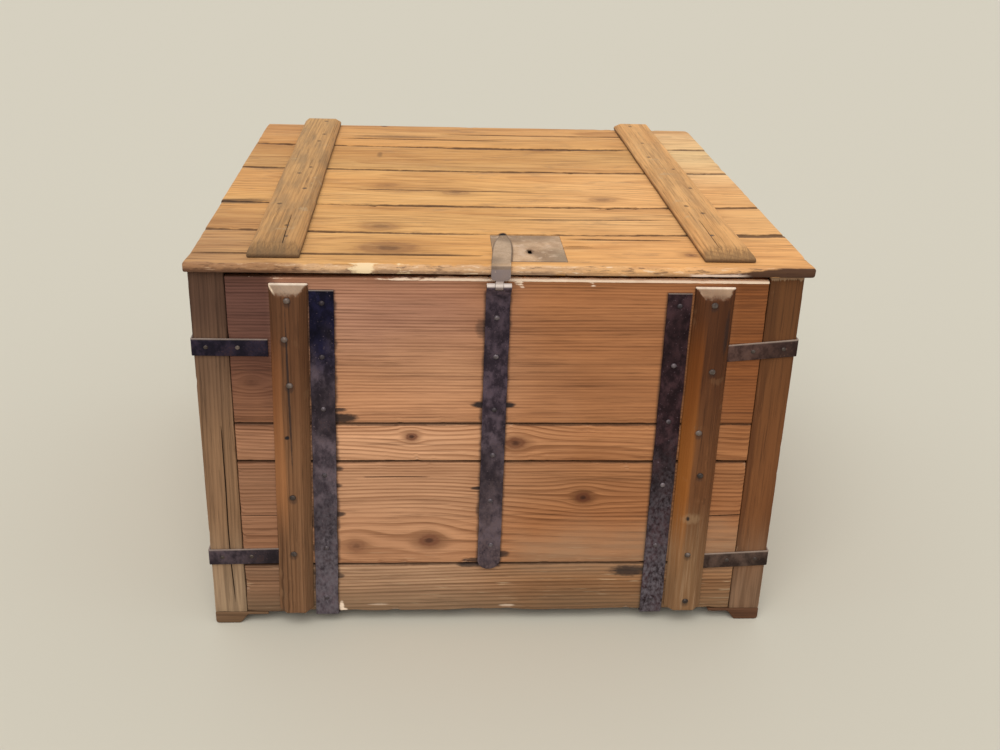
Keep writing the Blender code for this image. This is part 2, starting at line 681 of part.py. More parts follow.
def add_side_bands():
    """Bands along the sides, bent round the corners: on the front they end beside the battens."""
    front_legs = {"left": BATTEN_LEFT_X - BATTEN_W / 2 - BAND_GAP + SIDE_X,
                  "right": SIDE_X - BATTEN_RIGHT_X - BATTEN_W / 2 - BAND_GAP}
    levels = {"lower": WALL_Z0 + BODY_H * LOWER_BAND_SHARE, "upper": WALL_Z0 + BODY_H * UPPER_BAND_SHARE}
    near, far = -FIT, -FIT - BAND_T
    for side, sign in (("left", 1), ("right", -1)):
        front_leg = front_legs[side]
        section = [(front_leg, near), (front_leg, far)]
        section += arc((near, near), BAND_T, 270, 180, BEND_STEPS)
        section += arc((near, BODY_D - near), BAND_T, 180, 90, BEND_STEPS)
        section += [(BAND_LEG, BODY_D - far), (BAND_LEG, BODY_D - near), (near, BODY_D - near), (near, near)]
        outline = [(sign * (a - SIDE_X), FRONT_Y + b) for a, b in section]
        for level, z in levels.items():
            low, high = z - BAND_H / 2, z + BAND_H / 2
            prism(f"side_band_{side}_{level}", [outline], "Z", low, high, strap_iron)


def lid_plank_edges():
    """Front and back edges of the lid's planks."""
    front_plank = PLATE_INSET + PLATE_L + LID_PLANK_MARGIN
    rest = LID_BACK_Y - LID_FRONT_Y - front_plank
    edge = LID_FRONT_Y
    for width in [front_plank] + [rest * share for share in LID_SHARES]:
        yield edge, edge + width
        edge += width + FIT
    yield edge, LID_BACK_Y


def add_lid_planks():
    planks = []
    for number, (front, back) in enumerate(lid_plank_edges(), start=1):
        plank = block(f"lid_plank_{number}", (-LID_X, front, LID_Z0), (LID_X, back, LID_Z1), lid_pine)
        planks.append(plank)
    left, front = plate_corner()
    recess = block("plate_recess", (left - FIT, front - FIT, LID_Z1 - PLATE_T - FIT),
                   (left + PLATE_W + FIT, front + PLATE_L + FIT, LID_Z1 + FIT), None, cutters)
    low, high, sole = case_corners()
    mortise = block("case_mortise", (low[0] - FIT, low[1] - FIT, sole),
                    (high[0] + FIT, high[1] + FIT, LID_Z1 + FIT), None, cutters)
    for cutter in (recess, mortise):
        cut(planks[0], cutter)
    for plank in planks:
        ease_edges(plank, BOARD_ARRIS)
    return planks


def add_lid_battens():
    """Battens across the lid's planks, with sloping edges and ends."""
    base = LID_Z1 + FIT
    top = base + LID_BATTEN_T
    front = LID_FRONT_Y + LID_BATTEN_INSET
    half = LID_BATTEN_W / 2
    flat = half - LID_BATTEN_CHAMFER
    shoulder = base + LID_BATTEN_EDGE
    battens = []
    for side, x in (("left", -LID_BATTEN_X), ("right", LID_BATTEN_X)):
        section = [(x - half, base), (x + half, base), (x + half, shoulder),
                   (x + flat, top), (x - flat, top), (x - half, shoulder)]
        batten = prism(f"lid_batten_{side}", [section], "Y", front, LID_BACK_Y, batten_wood)
        rise = LID_BATTEN_T - LID_BATTEN_EDGE
        for y, sign in ((front, -1), (LID_BACK_Y, 1)):
            slice_off(batten, (x, y, shoulder), Vector((0, sign * rise, LID_BATTEN_SLOPE)).normalized())
        battens.append(batten)
    return battens


def add_hinges():
    """Strap hinges: a strap up the back with two knuckles, a leaf under the lid with one, and a pin."""
    pin = (HINGE_PIN.y, HINGE_PIN.z)
    near, far = BACK_Y + FIT, BACK_Y + FIT + STRAP_T
    meet = math.degrees(math.acos((far - pin[0]) / EYE_R))
    strap = turned_strap_outline(1, BACK_Y, pin[1])
    strap = arc(pin, EYE_R, 180, -meet, ROUND_STEPS) + strap[2:]
    bore = circle(pin, PIN_R + FIT)
    leaf_top, leaf_low = LID_Z0 - FIT, LID_Z0 - FIT - LEAF_T
    tip = pin[0] - BODY_D * LEAF_SHARE
    turn = math.degrees(math.asin((leaf_low - pin[1]) / EYE_R))
    leaf = [(tip, leaf_low)] + arc(pin, EYE_R, 180 - turn, 450, ROUND_STEPS) + [(tip, leaf_top)]
    reach = EYE_R + KNUCKLE_GAP
    notch = EYE_R + LEAF_CLEAR
    leaves = []
    for side, x in (("left", -HINGE_X), ("right", HINGE_X)):
        ends = (x - STRAP_W / 2, x + STRAP_W / 2)
        hinge_strap = prism(f"hinge_strap_{side}", [strap, bore], "X", *ends, strap_iron)
        low, high = (BACK_Y - FIT, pin[1] - reach), (pin[0] + reach, pin[1] + reach)
        cut(hinge_strap, middle_gap(f"hinge_gap_{side}", x, STRAP_W, low, high))
        hinge_leaf = prism(f"hinge_leaf_{side}", [leaf, bore], "X", *ends, strap_iron)
        low, high = (pin[0] - notch, pin[1] - reach), (pin[0] + reach, pin[1] + reach)
        for gap in side_gaps(f"leaf_gap_{side}", x, STRAP_W, low, high):
            cut(hinge_leaf, gap)
        leaves.append(hinge_leaf)
        rod(f"hinge_pin_{side}", Vector((x, *pin)), PIN_R, STRAP_W, pin_iron)
    return leaves


add_posts()
add_walls()
add_floor()
add_feet()
add_front_battens()
add_front_straps()
add_centre_strap()
add_side_bands()
hinge_leaves = add_hinges()
rod("hasp_pin", HASP_PIN, HASP_PIN_R, STRAP_W, pin_iron)

lid_axis = joint_empty("lid_axis", HINGE_PIN)
lid_pieces = hinge_leaves + add_lid_planks() + add_lid_battens()
lid_pieces += [add_lock_plate(), add_lock_case(), add_bolt_keeper(), add_lock_spring()]
carry(lid_axis, lid_pieces)

bolt_axis = joint_empty("bolt_axis", (rail_range()[0], staple_place()[1], bolt_middle_z()), lid_axis)
carry(bolt_axis, [add_lock_bolt()])

hasp_axis = joint_empty("hasp_axis", HASP_PIN)
carry(hasp_axis, [add_hasp(), add_staple()])
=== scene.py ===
import math

import bmesh
import bpy
from mathutils import Matrix, Vector, noise


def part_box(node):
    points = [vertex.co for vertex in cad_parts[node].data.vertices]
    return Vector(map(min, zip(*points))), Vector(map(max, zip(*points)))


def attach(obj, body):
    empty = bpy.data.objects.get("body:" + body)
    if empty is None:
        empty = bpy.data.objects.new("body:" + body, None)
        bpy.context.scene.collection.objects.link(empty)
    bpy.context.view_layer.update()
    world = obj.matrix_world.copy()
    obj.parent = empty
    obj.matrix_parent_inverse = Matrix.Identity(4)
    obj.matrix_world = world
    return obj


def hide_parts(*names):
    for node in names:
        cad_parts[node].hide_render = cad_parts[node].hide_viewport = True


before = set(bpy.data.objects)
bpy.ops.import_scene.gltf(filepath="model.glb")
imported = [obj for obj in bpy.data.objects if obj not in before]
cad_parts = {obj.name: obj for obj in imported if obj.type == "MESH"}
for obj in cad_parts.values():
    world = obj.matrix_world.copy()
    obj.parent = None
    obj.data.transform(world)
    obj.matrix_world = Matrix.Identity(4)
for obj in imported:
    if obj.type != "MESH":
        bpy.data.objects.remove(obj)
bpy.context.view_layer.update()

# The studio: a wide pale floor, an even pale sky and one large soft lamp above the front.
# The camera stands a little left of the chest's middle, above the lid, and looks down at it.
CAMERA_PLACE = (-0.1183, -2.3926, 1.3486)
LAMP_WAY = (-0.5, -2.6, 3.1)
FLOOR_DROP = 0.0005
scene = bpy.context.scene
scene.view_settings.view_transform = "Standard"

camera = bpy.data.objects.new("camera", bpy.data.cameras.new("camera"))
scene.collection.objects.link(camera)
scene.camera = camera
camera.data.sensor_fit = "HORIZONTAL"
camera.data.lens = 41.8
pitch, yaw, roll = math.radians(23.886), math.radians(3.744), math.radians(1.791)
turn = Matrix.Rotation(-yaw, 4, "Z") @ Matrix.Rotation(math.pi / 2 - pitch, 4, "X") @ Matrix.Rotation(roll, 4, "Z")
camera.matrix_world = Matrix.Translation(CAMERA_PLACE) @ turn

floor_mesh = bmesh.new()
bmesh.ops.create_grid(floor_mesh, x_segments=1, y_segments=1, size=40)
bmesh.ops.translate(floor_mesh, vec=(0, 0, -FLOOR_DROP), verts=floor_mesh.verts)
floor_data = bpy.data.meshes.new("studio_floor")
floor_mesh.to_mesh(floor_data)
floor_mesh.free()
studio_floor = bpy.data.objects.new("studio_floor", floor_data)
scene.collection.objects.link(studio_floor)
floor_finish = bpy.data.materials.new("studio_floor")
floor_finish.use_nodes = True
floor_shader = floor_finish.node_tree.nodes["Principled BSDF"]
floor_shader.inputs["Base Color"].default_value = (0.595, 0.570, 0.485, 1)
floor_shader.inputs["Roughness"].default_value = 0.9
floor_data.materials.append(floor_finish)

sky = bpy.data.worlds.new("sky")
sky.use_nodes = True
sky.node_tree.nodes["Background"].inputs["Color"].default_value = (1.0, 0.98, 0.95, 1)
sky.node_tree.nodes["Background"].inputs["Strength"].default_value = 0.70
scene.world = sky

sun = bpy.data.objects.new("sun", bpy.data.lights.new("sun", "SUN"))
scene.collection.objects.link(sun)
sun.data.energy = 1.7
sun.data.angle = math.radians(50)
sun.data.color = (1.0, 0.97, 0.93)
sun.matrix_world = Vector(LAMP_WAY).to_track_quat("Z", "Y").to_matrix().to_4x4()

# Corner posts: square posts of a darker wood than the boards, grey and rubbed towards the foot.
# They are sawn square, the wall boards are tongued into them, and the lid rests on their tops.
CORNERS = ("front_left", "front_right", "back_left", "back_right")
ARRIS = 0.0022


def round_off(mesh, edges, width, segments=2):
    """Takes the arris off these edges."""
    bmesh.ops.bevel(mesh, geom=edges, offset=width, offset_type="OFFSET", segments=segments, profile=0.5,
                    affect="EDGES", clamp_overlap=True, material=-1)


def plank(low, high, cuts, arris=ARRIS):
    """A sawn piece between two corners, its arrises off, with a number of cuts across it along each axis."""
    mesh = bmesh.new()
    bmesh.ops.create_cube(mesh, size=1)
    bmesh.ops.scale(mesh, vec=high - low, verts=mesh.verts)
    bmesh.ops.translate(mesh, vec=(low + high) / 2, verts=mesh.verts)
    round_off(mesh, mesh.edges[:], arris)
    for axis, count in enumerate(cuts):
        if count:
            runs = [e for e in mesh.edges if abs((e.verts[0].co - e.verts[1].co)[axis]) > 0.9 * e.calc_length()
                    and e.calc_length() > 3 * arris]
            bmesh.ops.subdivide_edges(mesh, edges=runs, cuts=count, use_grid_fill=True)
    return mesh


def saw(mesh, axis, places):
    """Cuts round the piece, so that wear can follow it."""
    normal = Vector((0, 0, 0))
    normal[axis] = 1
    for place in places:
        bmesh.ops.bisect_plane(mesh, geom=mesh.verts[:] + mesh.edges[:] + mesh.faces[:], dist=0.00002,
                               plane_co=normal * place, plane_no=normal)


def ripple(*place):
    """A smooth wander between about -1 and 1."""
    return noise.noise(Vector(place))


def crack(mesh, run, across, out, sink, place, start, end, depth, half, seed):
    """A drying crack along the grain: cut beside its line, and sunk between the inner cuts, where it is marked to be
    painted dark, partly dirt and partly painted shade.
    """
    saw(mesh, across, [place + half * side for side in (-1, -0.4, 0.4, 1)])
    deep = mesh.verts.layers.float.get("deep") or mesh.verts.layers.float.new("deep")
    levels = [vert.co[out] for vert in mesh.verts]
    surface = max(levels) if sink < 0 else min(levels)
    for vert in mesh.verts:
        along, offset = vert.co[run], vert.co[across] - place
        share = max(0.0, (along - start) * (end - along)) * 4 / (end - start) ** 2
        ragged = 0.75 + 0.5 * ripple(along * 40, seed, 0)
        if abs(vert.co[out] - surface) < 0.0004 and abs(offset) < half * 0.45:
            vert.co[out] += sink * depth * share ** 0.35 * ragged
            vert[deep] = min(1.0, share ** 0.35 * ragged)
        wander = 0.0035 * ripple(along * 7, seed * 2.3, 0.5)
        vert.co[across] += wander * math.exp(-(offset / 0.014) ** 2)


def weather(mesh, low, high, wear, seed, reach=ARRIS):
    """Years of use: the faces wander inwards a little, and the arrises are rubbed and chipped to bare wood."""
    bare = mesh.verts.layers.float.new("bare")
    shift = Vector((seed * 3.71, seed * 1.93, seed * 5.37))
    for vert in mesh.verts:
        inward = Vector((0, 0, 0))
        for axis in range(3):
            if vert.co[axis] - low[axis] < reach * 1.05:
                inward[axis] = 1
            elif high[axis] - vert.co[axis] < reach * 1.05:
                inward[axis] = -1
        rub = 0.5 + 0.5 * noise.noise(vert.co * 11 + shift)
        if inward.length_squared > 1.5:
            chip = max(0.0, noise.noise(vert.co * 36 + shift) + 0.5 * noise.noise(vert.co * 95 + shift) - 0.25)
            vert.co += inward * wear * (0.6 * rub + 2.0 * chip)
            vert[bare] = min(1.0, 0.25 * rub + 2.0 * chip)
        else:
            vert.co += inward * wear * 0.25 * rub
    return bare


def settle(mesh, name, finish, body, slot, *nodes):
    """The finished piece on its CAD body, standing for the nodes that it is made over."""
    for face in mesh.faces:
        face.smooth = True
    data = bpy.data.meshes.new(name)
    mesh.to_mesh(data)
    mesh.free()
    data.set_sharp_from_angle(angle=math.radians(38))
    data.materials.append(finish)
    piece = bpy.data.objects.new(name, data)
    scene.collection.objects.link(piece)
    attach(piece, body)
    if nodes:
        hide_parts(*nodes)


class Tone:
    """A socket in a finish. Sums on it add Math nodes, and node() adds any other."""

    def __init__(self, socket):
        self.socket = socket

    def node(self, kind, settings, inputs, output=0):
        tree = self.socket.id_data
        made = tree.nodes.new(kind)
        for name, value in settings.items():
            setattr(made, name, value)
        for key, value in inputs.items():
            if isinstance(value, Tone):
                tree.links.new(value.socket, made.inputs[key])
            elif isinstance(value, tuple):
                made.inputs[key].default_value = (*value, 1)
            else:
                made.inputs[key].default_value = value
        return Tone(made.outputs[output])

    def sum(self, operation, *values):
        return self.node("ShaderNodeMath", {"operation": operation}, dict(enumerate(values)))

    def __add__(self, other):
        return self.sum("ADD", self, other)

    def __sub__(self, other):
        return self.sum("SUBTRACT", self, other)

    def __rsub__(self, other):
        return self.sum("SUBTRACT", other, self)

    def __mul__(self, other):
        return self.sum("MULTIPLY", self, other)

    def __truediv__(self, other):
        return self.sum("DIVIDE", self, other)

    def __abs__(self):
        return self.sum("ABSOLUTE", self)

    __radd__ = __add__
    __rmul__ = __mul__

    def rise(self, start, end, stray=None, reach=0.0):
        """From 0 at start to 1 at end, with soft ends; start may be the larger, and a noise may make the line stray."""
        value = self if stray is None else self + (stray - 0.5) * reach
        low, high = (0.0, 1.0) if start < end else (1.0, 0.0)
        bounds = {"From Min": min(start, end), "From Max": max(start, end), "To Min": low, "To Max": high}
        return self.node("ShaderNodeMapRange", {"interpolation_type": "SMOOTHSTEP"}, {"Value": value, **bounds})

    def axes(self):
        split = self.node("ShaderNodeSeparateXYZ", {}, {0: self}).socket.node
        return [Tone(socket) for socket in split.outputs]

    def speckle(self, x, y, z, detail=2.0, roughness=0.55):
        """Noise at coordinates of its own, about 0 to 1."""
        spot = self.node("ShaderNodeCombineXYZ", {}, {0: x, 1: y, 2: z})
        return self.node("ShaderNodeTexNoise", {}, {"Vector": spot, "Scale": 1.0, "Detail": detail,
                                                    "Roughness": roughness})

    def scatter(self, x, y, z, detail=2.0, roughness=0.55):
        """Noise over this place, finer along each axis by a number."""
        return self.speckle(*(axis * times for axis, times in zip(self.axes(), (x, y, z))), detail, roughness)

    def mixed(self, other, share, way="MIX"):
        """This colour with another over it, by a share."""
        return self.node("ShaderNodeMix", {"data_type": "RGBA", "blend_type": way}, {0: share, 6: self, 7: other}, 2)

    def coated(self, *coats):
        """This colour with several others over it, one after another."""
        colour = self
        for coat in coats:
            colour = colour.mixed(*coat)
        return colour

    def blend(self, first, second, share):
        """Two plain colours by a share."""
        return self.node("ShaderNodeMix", {"data_type": "RGBA"}, {0: share, 6: first, 7: second}, 2)


def new_finish(name):
    """An empty finish, with its shader and the place on the piece."""
    finish = bpy.data.materials.new(name)
    finish.use_nodes = True
    nodes = finish.node_tree.nodes
    return finish, nodes["Principled BSDF"], Tone(nodes.new("ShaderNodeTexCoord").outputs["Object"])


def feed(shader, colour, roughness, height, depth, gloss):
    """A finish's colour, roughness and relief on its shader."""
    bump = colour.node("ShaderNodeBump", {}, {"Strength": 0.6, "Distance": depth, "Height": height})
    for name, tone in (("Base Color", colour), ("Roughness", roughness), ("Normal", bump)):
        shader.id_data.links.new(tone.socket, shader.inputs[name])
    shader.inputs["Specular IOR Level"].default_value = gloss


def shade(colour, share):
    return tuple(share * part for part in colour)


def wood(name, early, late, run, across, ring, heart, seed, lean=(0, 0), sway=0.007, knots=(), stains=(), chips=(),
         edges=None, bare=(0.66, 0.44, 0.25), bare_share=0.6, patina_and_light=None, contrast=0.8, blotch=0.4, fine=320):
    """Sawn wood: growth rings about a heart beside the board, fibres, flecks, knots, stains and rubbed arrises."""
    finish, shader, place = new_finish(name)
    axes = place.axes()
    along, wide, deep = axes[run], axes[across], axes[3 - run - across]
    far = along + seed * 13.7

    def drawn(lengthwise, crosswise, detail=2.0, roughness=0.55):
        """Noise that is drawn out along the grain."""
        return place.speckle(far * lengthwise, wide * crosswise, deep * crosswise, detail, roughness)

    grit, fibre = drawn(70, fine, 3.0, 0.7), drawn(7, fine, 4.0, 0.7)
    patch, tint = drawn(3, 10, 3.0), drawn(1.3, 5, 1.0)
    fleck = drawn(14, 0.8 * fine, 1.0).rise(0.66, 0.78)
    line = wide + (drawn(1.7, 7) - 0.5) * 2 * sway
    eyes = []
    for knot_along, knot_wide, size, depth in knots:
        step, rise = (along - knot_along) * 0.65, line - knot_wide
        spread = step * step + rise * rise
        swirl = (2.2 * size) ** 2
        line = line - rise * (1.25 * swirl) / (spread + swirl)
        eyes.append((place.sum("SQRT", spread) / size + (grit - 0.5) * 0.8 + (patch - 0.5) * 1.2, depth))
    side, back = line - heart[0] - along * lean[0], deep - heart[1] - along * lean[1]
    turns = place.sum("SQRT", side * side + back * back) / ring
    growth = place.speckle(turns * 0.8, far * 0.7, seed, 4.0, 0.62).rise(0.43, 0.66)
    strength = place.speckle(turns * 0.31, far * 1.3, seed + 5).rise(0.25, 0.68)
    phase = place.sum("FRACT", turns + drawn(2.2, 11) * 0.9)
    streak = (growth * 0.45 + phase.rise(0.30, 0.90) * phase.rise(1.0, 0.93) * 0.75) * (0.35 + 0.65 * strength)
    colour = place.blend(early, late, streak * contrast).coated(
        (late, patch.rise(0.46, 0.74) * blotch),
        ((1.0, 0.88, 0.76), tint.rise(0.38, 0.66) * 0.6, "MULTIPLY"),
        (shade(late, 0.50), fibre.rise(0.50, 0.30) * 0.55),
        (shade(early, 1.30), fibre.rise(0.54, 0.70) * 0.40),
        (shade(late, 0.35), fleck * 0.25))
    for eye, depth in eyes:
        rings = 0.85 + 0.15 * place.sum("SINE", eye * 9)
        colour = colour.coated((shade(late, 0.70), eye.rise(2.6, 1.0) * depth * 0.6),
                               ((0.150, 0.052, 0.028), eye.rise(1.45, 0.70) * rings * depth * 0.9),
                               ((0.045, 0.018, 0.012), eye.rise(0.75, 0.15) * depth * 0.8))
    if patina_and_light:
        colour = patina_and_light(place, axes, colour)
    if edges:
        low, high, width = edges
        ragged = (patch - 0.5) * 2.5 * width + (grit - 0.5) * width
        # Darker along the long edges: dirt and painted shade in the open seams.
        seam_dirt_and_shade = (wide - low + ragged).rise(width, 0) + (high - wide + ragged).rise(width, 0)
        colour = colour.mixed((0.055, 0.026, 0.014), seam_dirt_and_shade * 0.75)

    def spot(spot_along, spot_wide, length, height):
        step, rise = (along - spot_along) / length, (wide - spot_wide) / height
        return (step * step + rise * rise + (grit - 0.5) * 1.6 + (patch - 0.5) * 1.5).rise(1.30, 0.20)

    colour = colour.coated(*((bare, spot(*chip) * depth) for *chip, depth in chips),
                           *(((0.013, 0.011, 0.013), spot(*stain) * depth) for *stain, depth in stains))
    worn, split = (place.node("ShaderNodeAttribute", {"attribute_name": mark}, {}, 2) for mark in ("bare", "deep"))
    flakes = drawn(28, 65, 3.0) + grit - 1
    rubbed = (worn + (fibre - 0.5) * 1.2 + flakes).rise(0.34, 0.66) * worn.rise(0.02, 0.12) * bare_share
    # The marked cracks are painted near-black: partly dirt, partly painted shade inside the crack.
    colour = colour.coated((bare, rubbed), ((0.020, 0.010, 0.006), split.rise(0.10, 0.50) * 0.95))
    height = fibre * 0.6 - streak * 0.35 - fleck * 0.3 + grit * 0.25
    feed(shader, colour, 0.58 + 0.20 * fibre + 0.12 * patch, height, 0.0011, 0.2)
    return finish


def post_shade_and_wear(top, foot):
    """Dark under the lid, which is painted shade, and greyer and paler down to the foot."""
    def wear_and_light(place, axes, colour):
        z = axes[2]
        cloud, streaks = place.scatter(9, 9, 3.5), place.scatter(120, 120, 5, 3.0)
        fibres = place.blend(shade(foot, 0.70), shade(foot, 1.30), streaks.rise(0.36, 0.64))
        # The multiply towards the lid is painted shade; the grey fibres at the foot are wear.
        return colour.coated((top, z.rise(0.36, 0.66, cloud, 0.25), "MULTIPLY"),
                             (fibres, z.rise(0.26, 0.04) * (0.3 + 0.9 * cloud)))
    return wear_and_light


# In each look the first colour is the multiply for painted shade under the lid, and the second is the greyer foot.
POST_LOOKS = {
    "left": dict(early=(0.262, 0.147, 0.078), late=(0.108, 0.056, 0.028),
                 patina_and_light=post_shade_and_wear((0.38, 0.36, 0.44), (0.335, 0.232, 0.144))),
    "right": dict(early=(0.180, 0.072, 0.025), late=(0.076, 0.027, 0.009),
                  patina_and_light=post_shade_and_wear((0.68, 0.66, 0.62), (0.200, 0.122, 0.074))),
}
for number, corner in enumerate(CORNERS):
    node = f"post_{corner}"
    low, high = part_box(node)
    post_mesh = plank(low, high, (3, 3, 70))
    if corner == "front_left":
        crack(post_mesh, 2, 0, 1, 1, -0.4875, 0.05, 0.42, 0.005, 0.0012, 3)
    elif "back" in corner:
        crack(post_mesh, 2, 0, 1, -1, (low.x + high.x) / 2 + 0.006, 0.10 + 0.1 * number, 0.5, 0.004, 0.0010, number)
    bare = weather(post_mesh, low, high, 0.0010, number + 1)
    for vert in post_mesh.verts:
        rubbed_top = corner == "front_right" and vert.co.z > high.z - 0.003 and vert.co.y < low.y + 0.004
        vert[bare] = 1.0 if rubbed_top else 0.30 * vert[bare]
    post_wood = wood(f"post_wood_{number}", run=2, across=0, ring=0.0055, heart=(0.7 - number * 0.3, 0.4),
                     seed=21 + number, lean=(0.02, 0), bare=(0.50, 0.36, 0.23), bare_share=0.5, contrast=0.6,
                     **POST_LOOKS[corner.split("_")[1]])
    settle(post_mesh, f"{node}_worn", post_wood, "carcase", "post_wood", node)

# Front boards: four wide pine boards across the front, tongued into the posts with open seams between.
# They have gone red-brown; the straps' iron has bled black into the grain, and the foot is worn ragged.
CLEARANCE = 0.0004
INNER_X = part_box("post_front_right")[0].x - CLEARANCE
FRONT_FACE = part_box("front_board_1")[0].y
STRAP_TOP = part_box("front_strap_left")[1].z
STRAP_BLEEDS = {"front_strap_left": 1.0, "centre_strap": 0.6, "front_strap_right": 0.2}
STRAP_LEANS = {"front_strap_left": 0.0145, "centre_strap": 0.007, "front_strap_right": 0.0}
RAGGED_FOOT = 0.012
# Width of the darker band along each seam: dirt and painted shade.
SEAM_DIRT_AND_SHADE = 0.0035


def front_wear_and_light(place, axes, colour):
    """Redder to the left and yellower to the right, which is painted light; dark towards the upper corners and at the
    far left and right, partly stain and partly painted shade; black along the straps, where their iron has bled.
    """
    x, y, z = axes
    cloud = place.scatter(7, 7, 5)
    to_left = x.rise(-0.37, -0.40)
    # These multiplies paint light: darker and warmer to the right, and painted shade, partly stain, in the upper
    # corners and the far left strip.
    colour = colour.coated(
        ((0.72, 0.60, 0.46), x.rise(-0.14, 0.16, cloud, 0.2), "MULTIPLY"),
        ((0.82, 0.80, 0.94), z.rise(0.50, 0.66, cloud, 0.12) * x.rise(0.1, -0.1), "MULTIPLY"),
        ((0.58, 0.54, 0.54), to_left, "MULTIPLY"),
        ((0.50, 0.46, 0.54), to_left * z.rise(0.40, 0.56, cloud, 0.3), "MULTIPLY"),
        ((0.62, 0.52, 0.40), x.rise(0.38, 0.42) * z.rise(0.15, 0.60, cloud, 0.3), "MULTIPLY"))
    ragged, blots = place.scatter(14, 14, 60, 3.0, 0.6), place.scatter(6, 6, 19)
    outer = (y - FRONT_FACE).rise(0.010, 0.004) * (z - STRAP_TOP).rise(0.002, -0.002)
    for strap, bleed in STRAP_BLEEDS.items():
        low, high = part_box(strap)
        middle = (low.x + high.x) / 2 - STRAP_LEANS[strap] * (high.z - z)
        gap = abs(x - middle) - (high.x - low.x) / 2
        reach = ((ragged - 0.44) * 0.014 + blots.rise(0.54, 0.70) * 0.006) * bleed
        beside = (gap - reach).rise(0.0050, -0.0020) * (z - low.z).rise(-0.001, 0.004)
        colour = colour.mixed((0.030, 0.021, 0.022), beside * outer * 0.75)
    scuff = place.scatter(16, 300, 330, 3.0)
    greyed = z.rise(0.26, 0.17, cloud, 0.16) * z.rise(0.08, 0.15) * x.rise(0.0, 0.08)
    return colour.coated(((0.34, 0.225, 0.140), greyed * (0.15 + 0.6 * ragged)),
                         ((0.55, 0.40, 0.25), scuff.rise(0.60, 0.72) * z.rise(0.22, 0.05) * 0.6),
                         ((0.135, 0.092, 0.055), z.rise(0.10, 0.03, cloud, 0.05) * 0.55))


FRONT_BOARDS = {
    1: dict(early=(0.46, 0.273, 0.160), late=(0.205, 0.106, 0.055), ring=0.0046, heart=(-0.35, 0.1), lean=(0.015, 0),
            contrast=1.1,
            stains=[(0.262, 0.114, 0.042, 0.013, 0.85), (-0.045, 0.129, 0.024, 0.006, 0.8),
                    (-0.288, 0.105, 0.010, 0.006, 0.7)],
            chips=[(-0.2855, 0.036, 0.005, 0.013, 0.9), (-0.281, 0.028, 0.007, 0.005, 0.9),
                   (-0.215, 0.040, 0.020, 0.002, 0.3), (0.030, 0.036, 0.016, 0.003, 0.4)]),
    2: dict(early=(0.55, 0.294, 0.163), late=(0.250, 0.110, 0.051), ring=0.0032, heart=(0.10, -0.11),
            lean=(0.02, 0.01), sway=0.016, contrast=1.0,
            knots=[(0.165, 0.278, 0.0080, 1.0), (-0.120, 0.181, 0.0125, 0.85), (-0.255, 0.170, 0.011, 0.45)],
            stains=[(-0.287, 0.335, 0.014, 0.006, 0.8), (-0.286, 0.240, 0.014, 0.007, 0.85),
                    (-0.287, 0.300, 0.010, 0.004, 0.7), (-0.028, 0.294, 0.018, 0.004, 0.9),
                    (0.018, 0.152, 0.014, 0.008, 0.8), (-0.035, 0.139, 0.024, 0.006, 0.8)]),
    3: dict(early=(0.68, 0.368, 0.206), late=(0.285, 0.122, 0.055), ring=0.0026, heart=(0.30, -0.25),
            lean=(0.03, 0.02), sway=0.012, contrast=0.95,
            knots=[(0.036, 0.386, 0.0115, 0.85), (-0.152, 0.403, 0.006, 1.0)]),
    4: dict(early=(0.57, 0.298, 0.162), late=(0.255, 0.112, 0.056), ring=0.0046, heart=(-0.4, 0.3), lean=(0.006, 0),
            knots=[(-0.430, 0.505, 0.008, 0.25)],
            stains=[(-0.274, 0.437, 0.028, 0.010, 0.90), (-0.283, 0.453, 0.018, 0.004, 0.85),
                    (-0.028, 0.464, 0.018, 0.006, 0.95), (0.020, 0.464, 0.014, 0.006, 0.95),
                    (-0.029, 0.610, 0.014, 0.022, 0.55)]),
}
FRONT_SHRINKS = {1: (0, 0.0012), 2: (0.0008, 0.0030), 3: (0, 0.0012), 4: (0, 0)}
FRONT_CRACKS = {2: [(0.318, -0.240, -0.120, 0.004, 0.0011, 5), (0.234, 0.398, INNER_X + 0.01, 0.006, 0.0016, 6),
                    (0.236, -INNER_X - 0.01, -0.394, 0.004, 0.0011, 7)]}
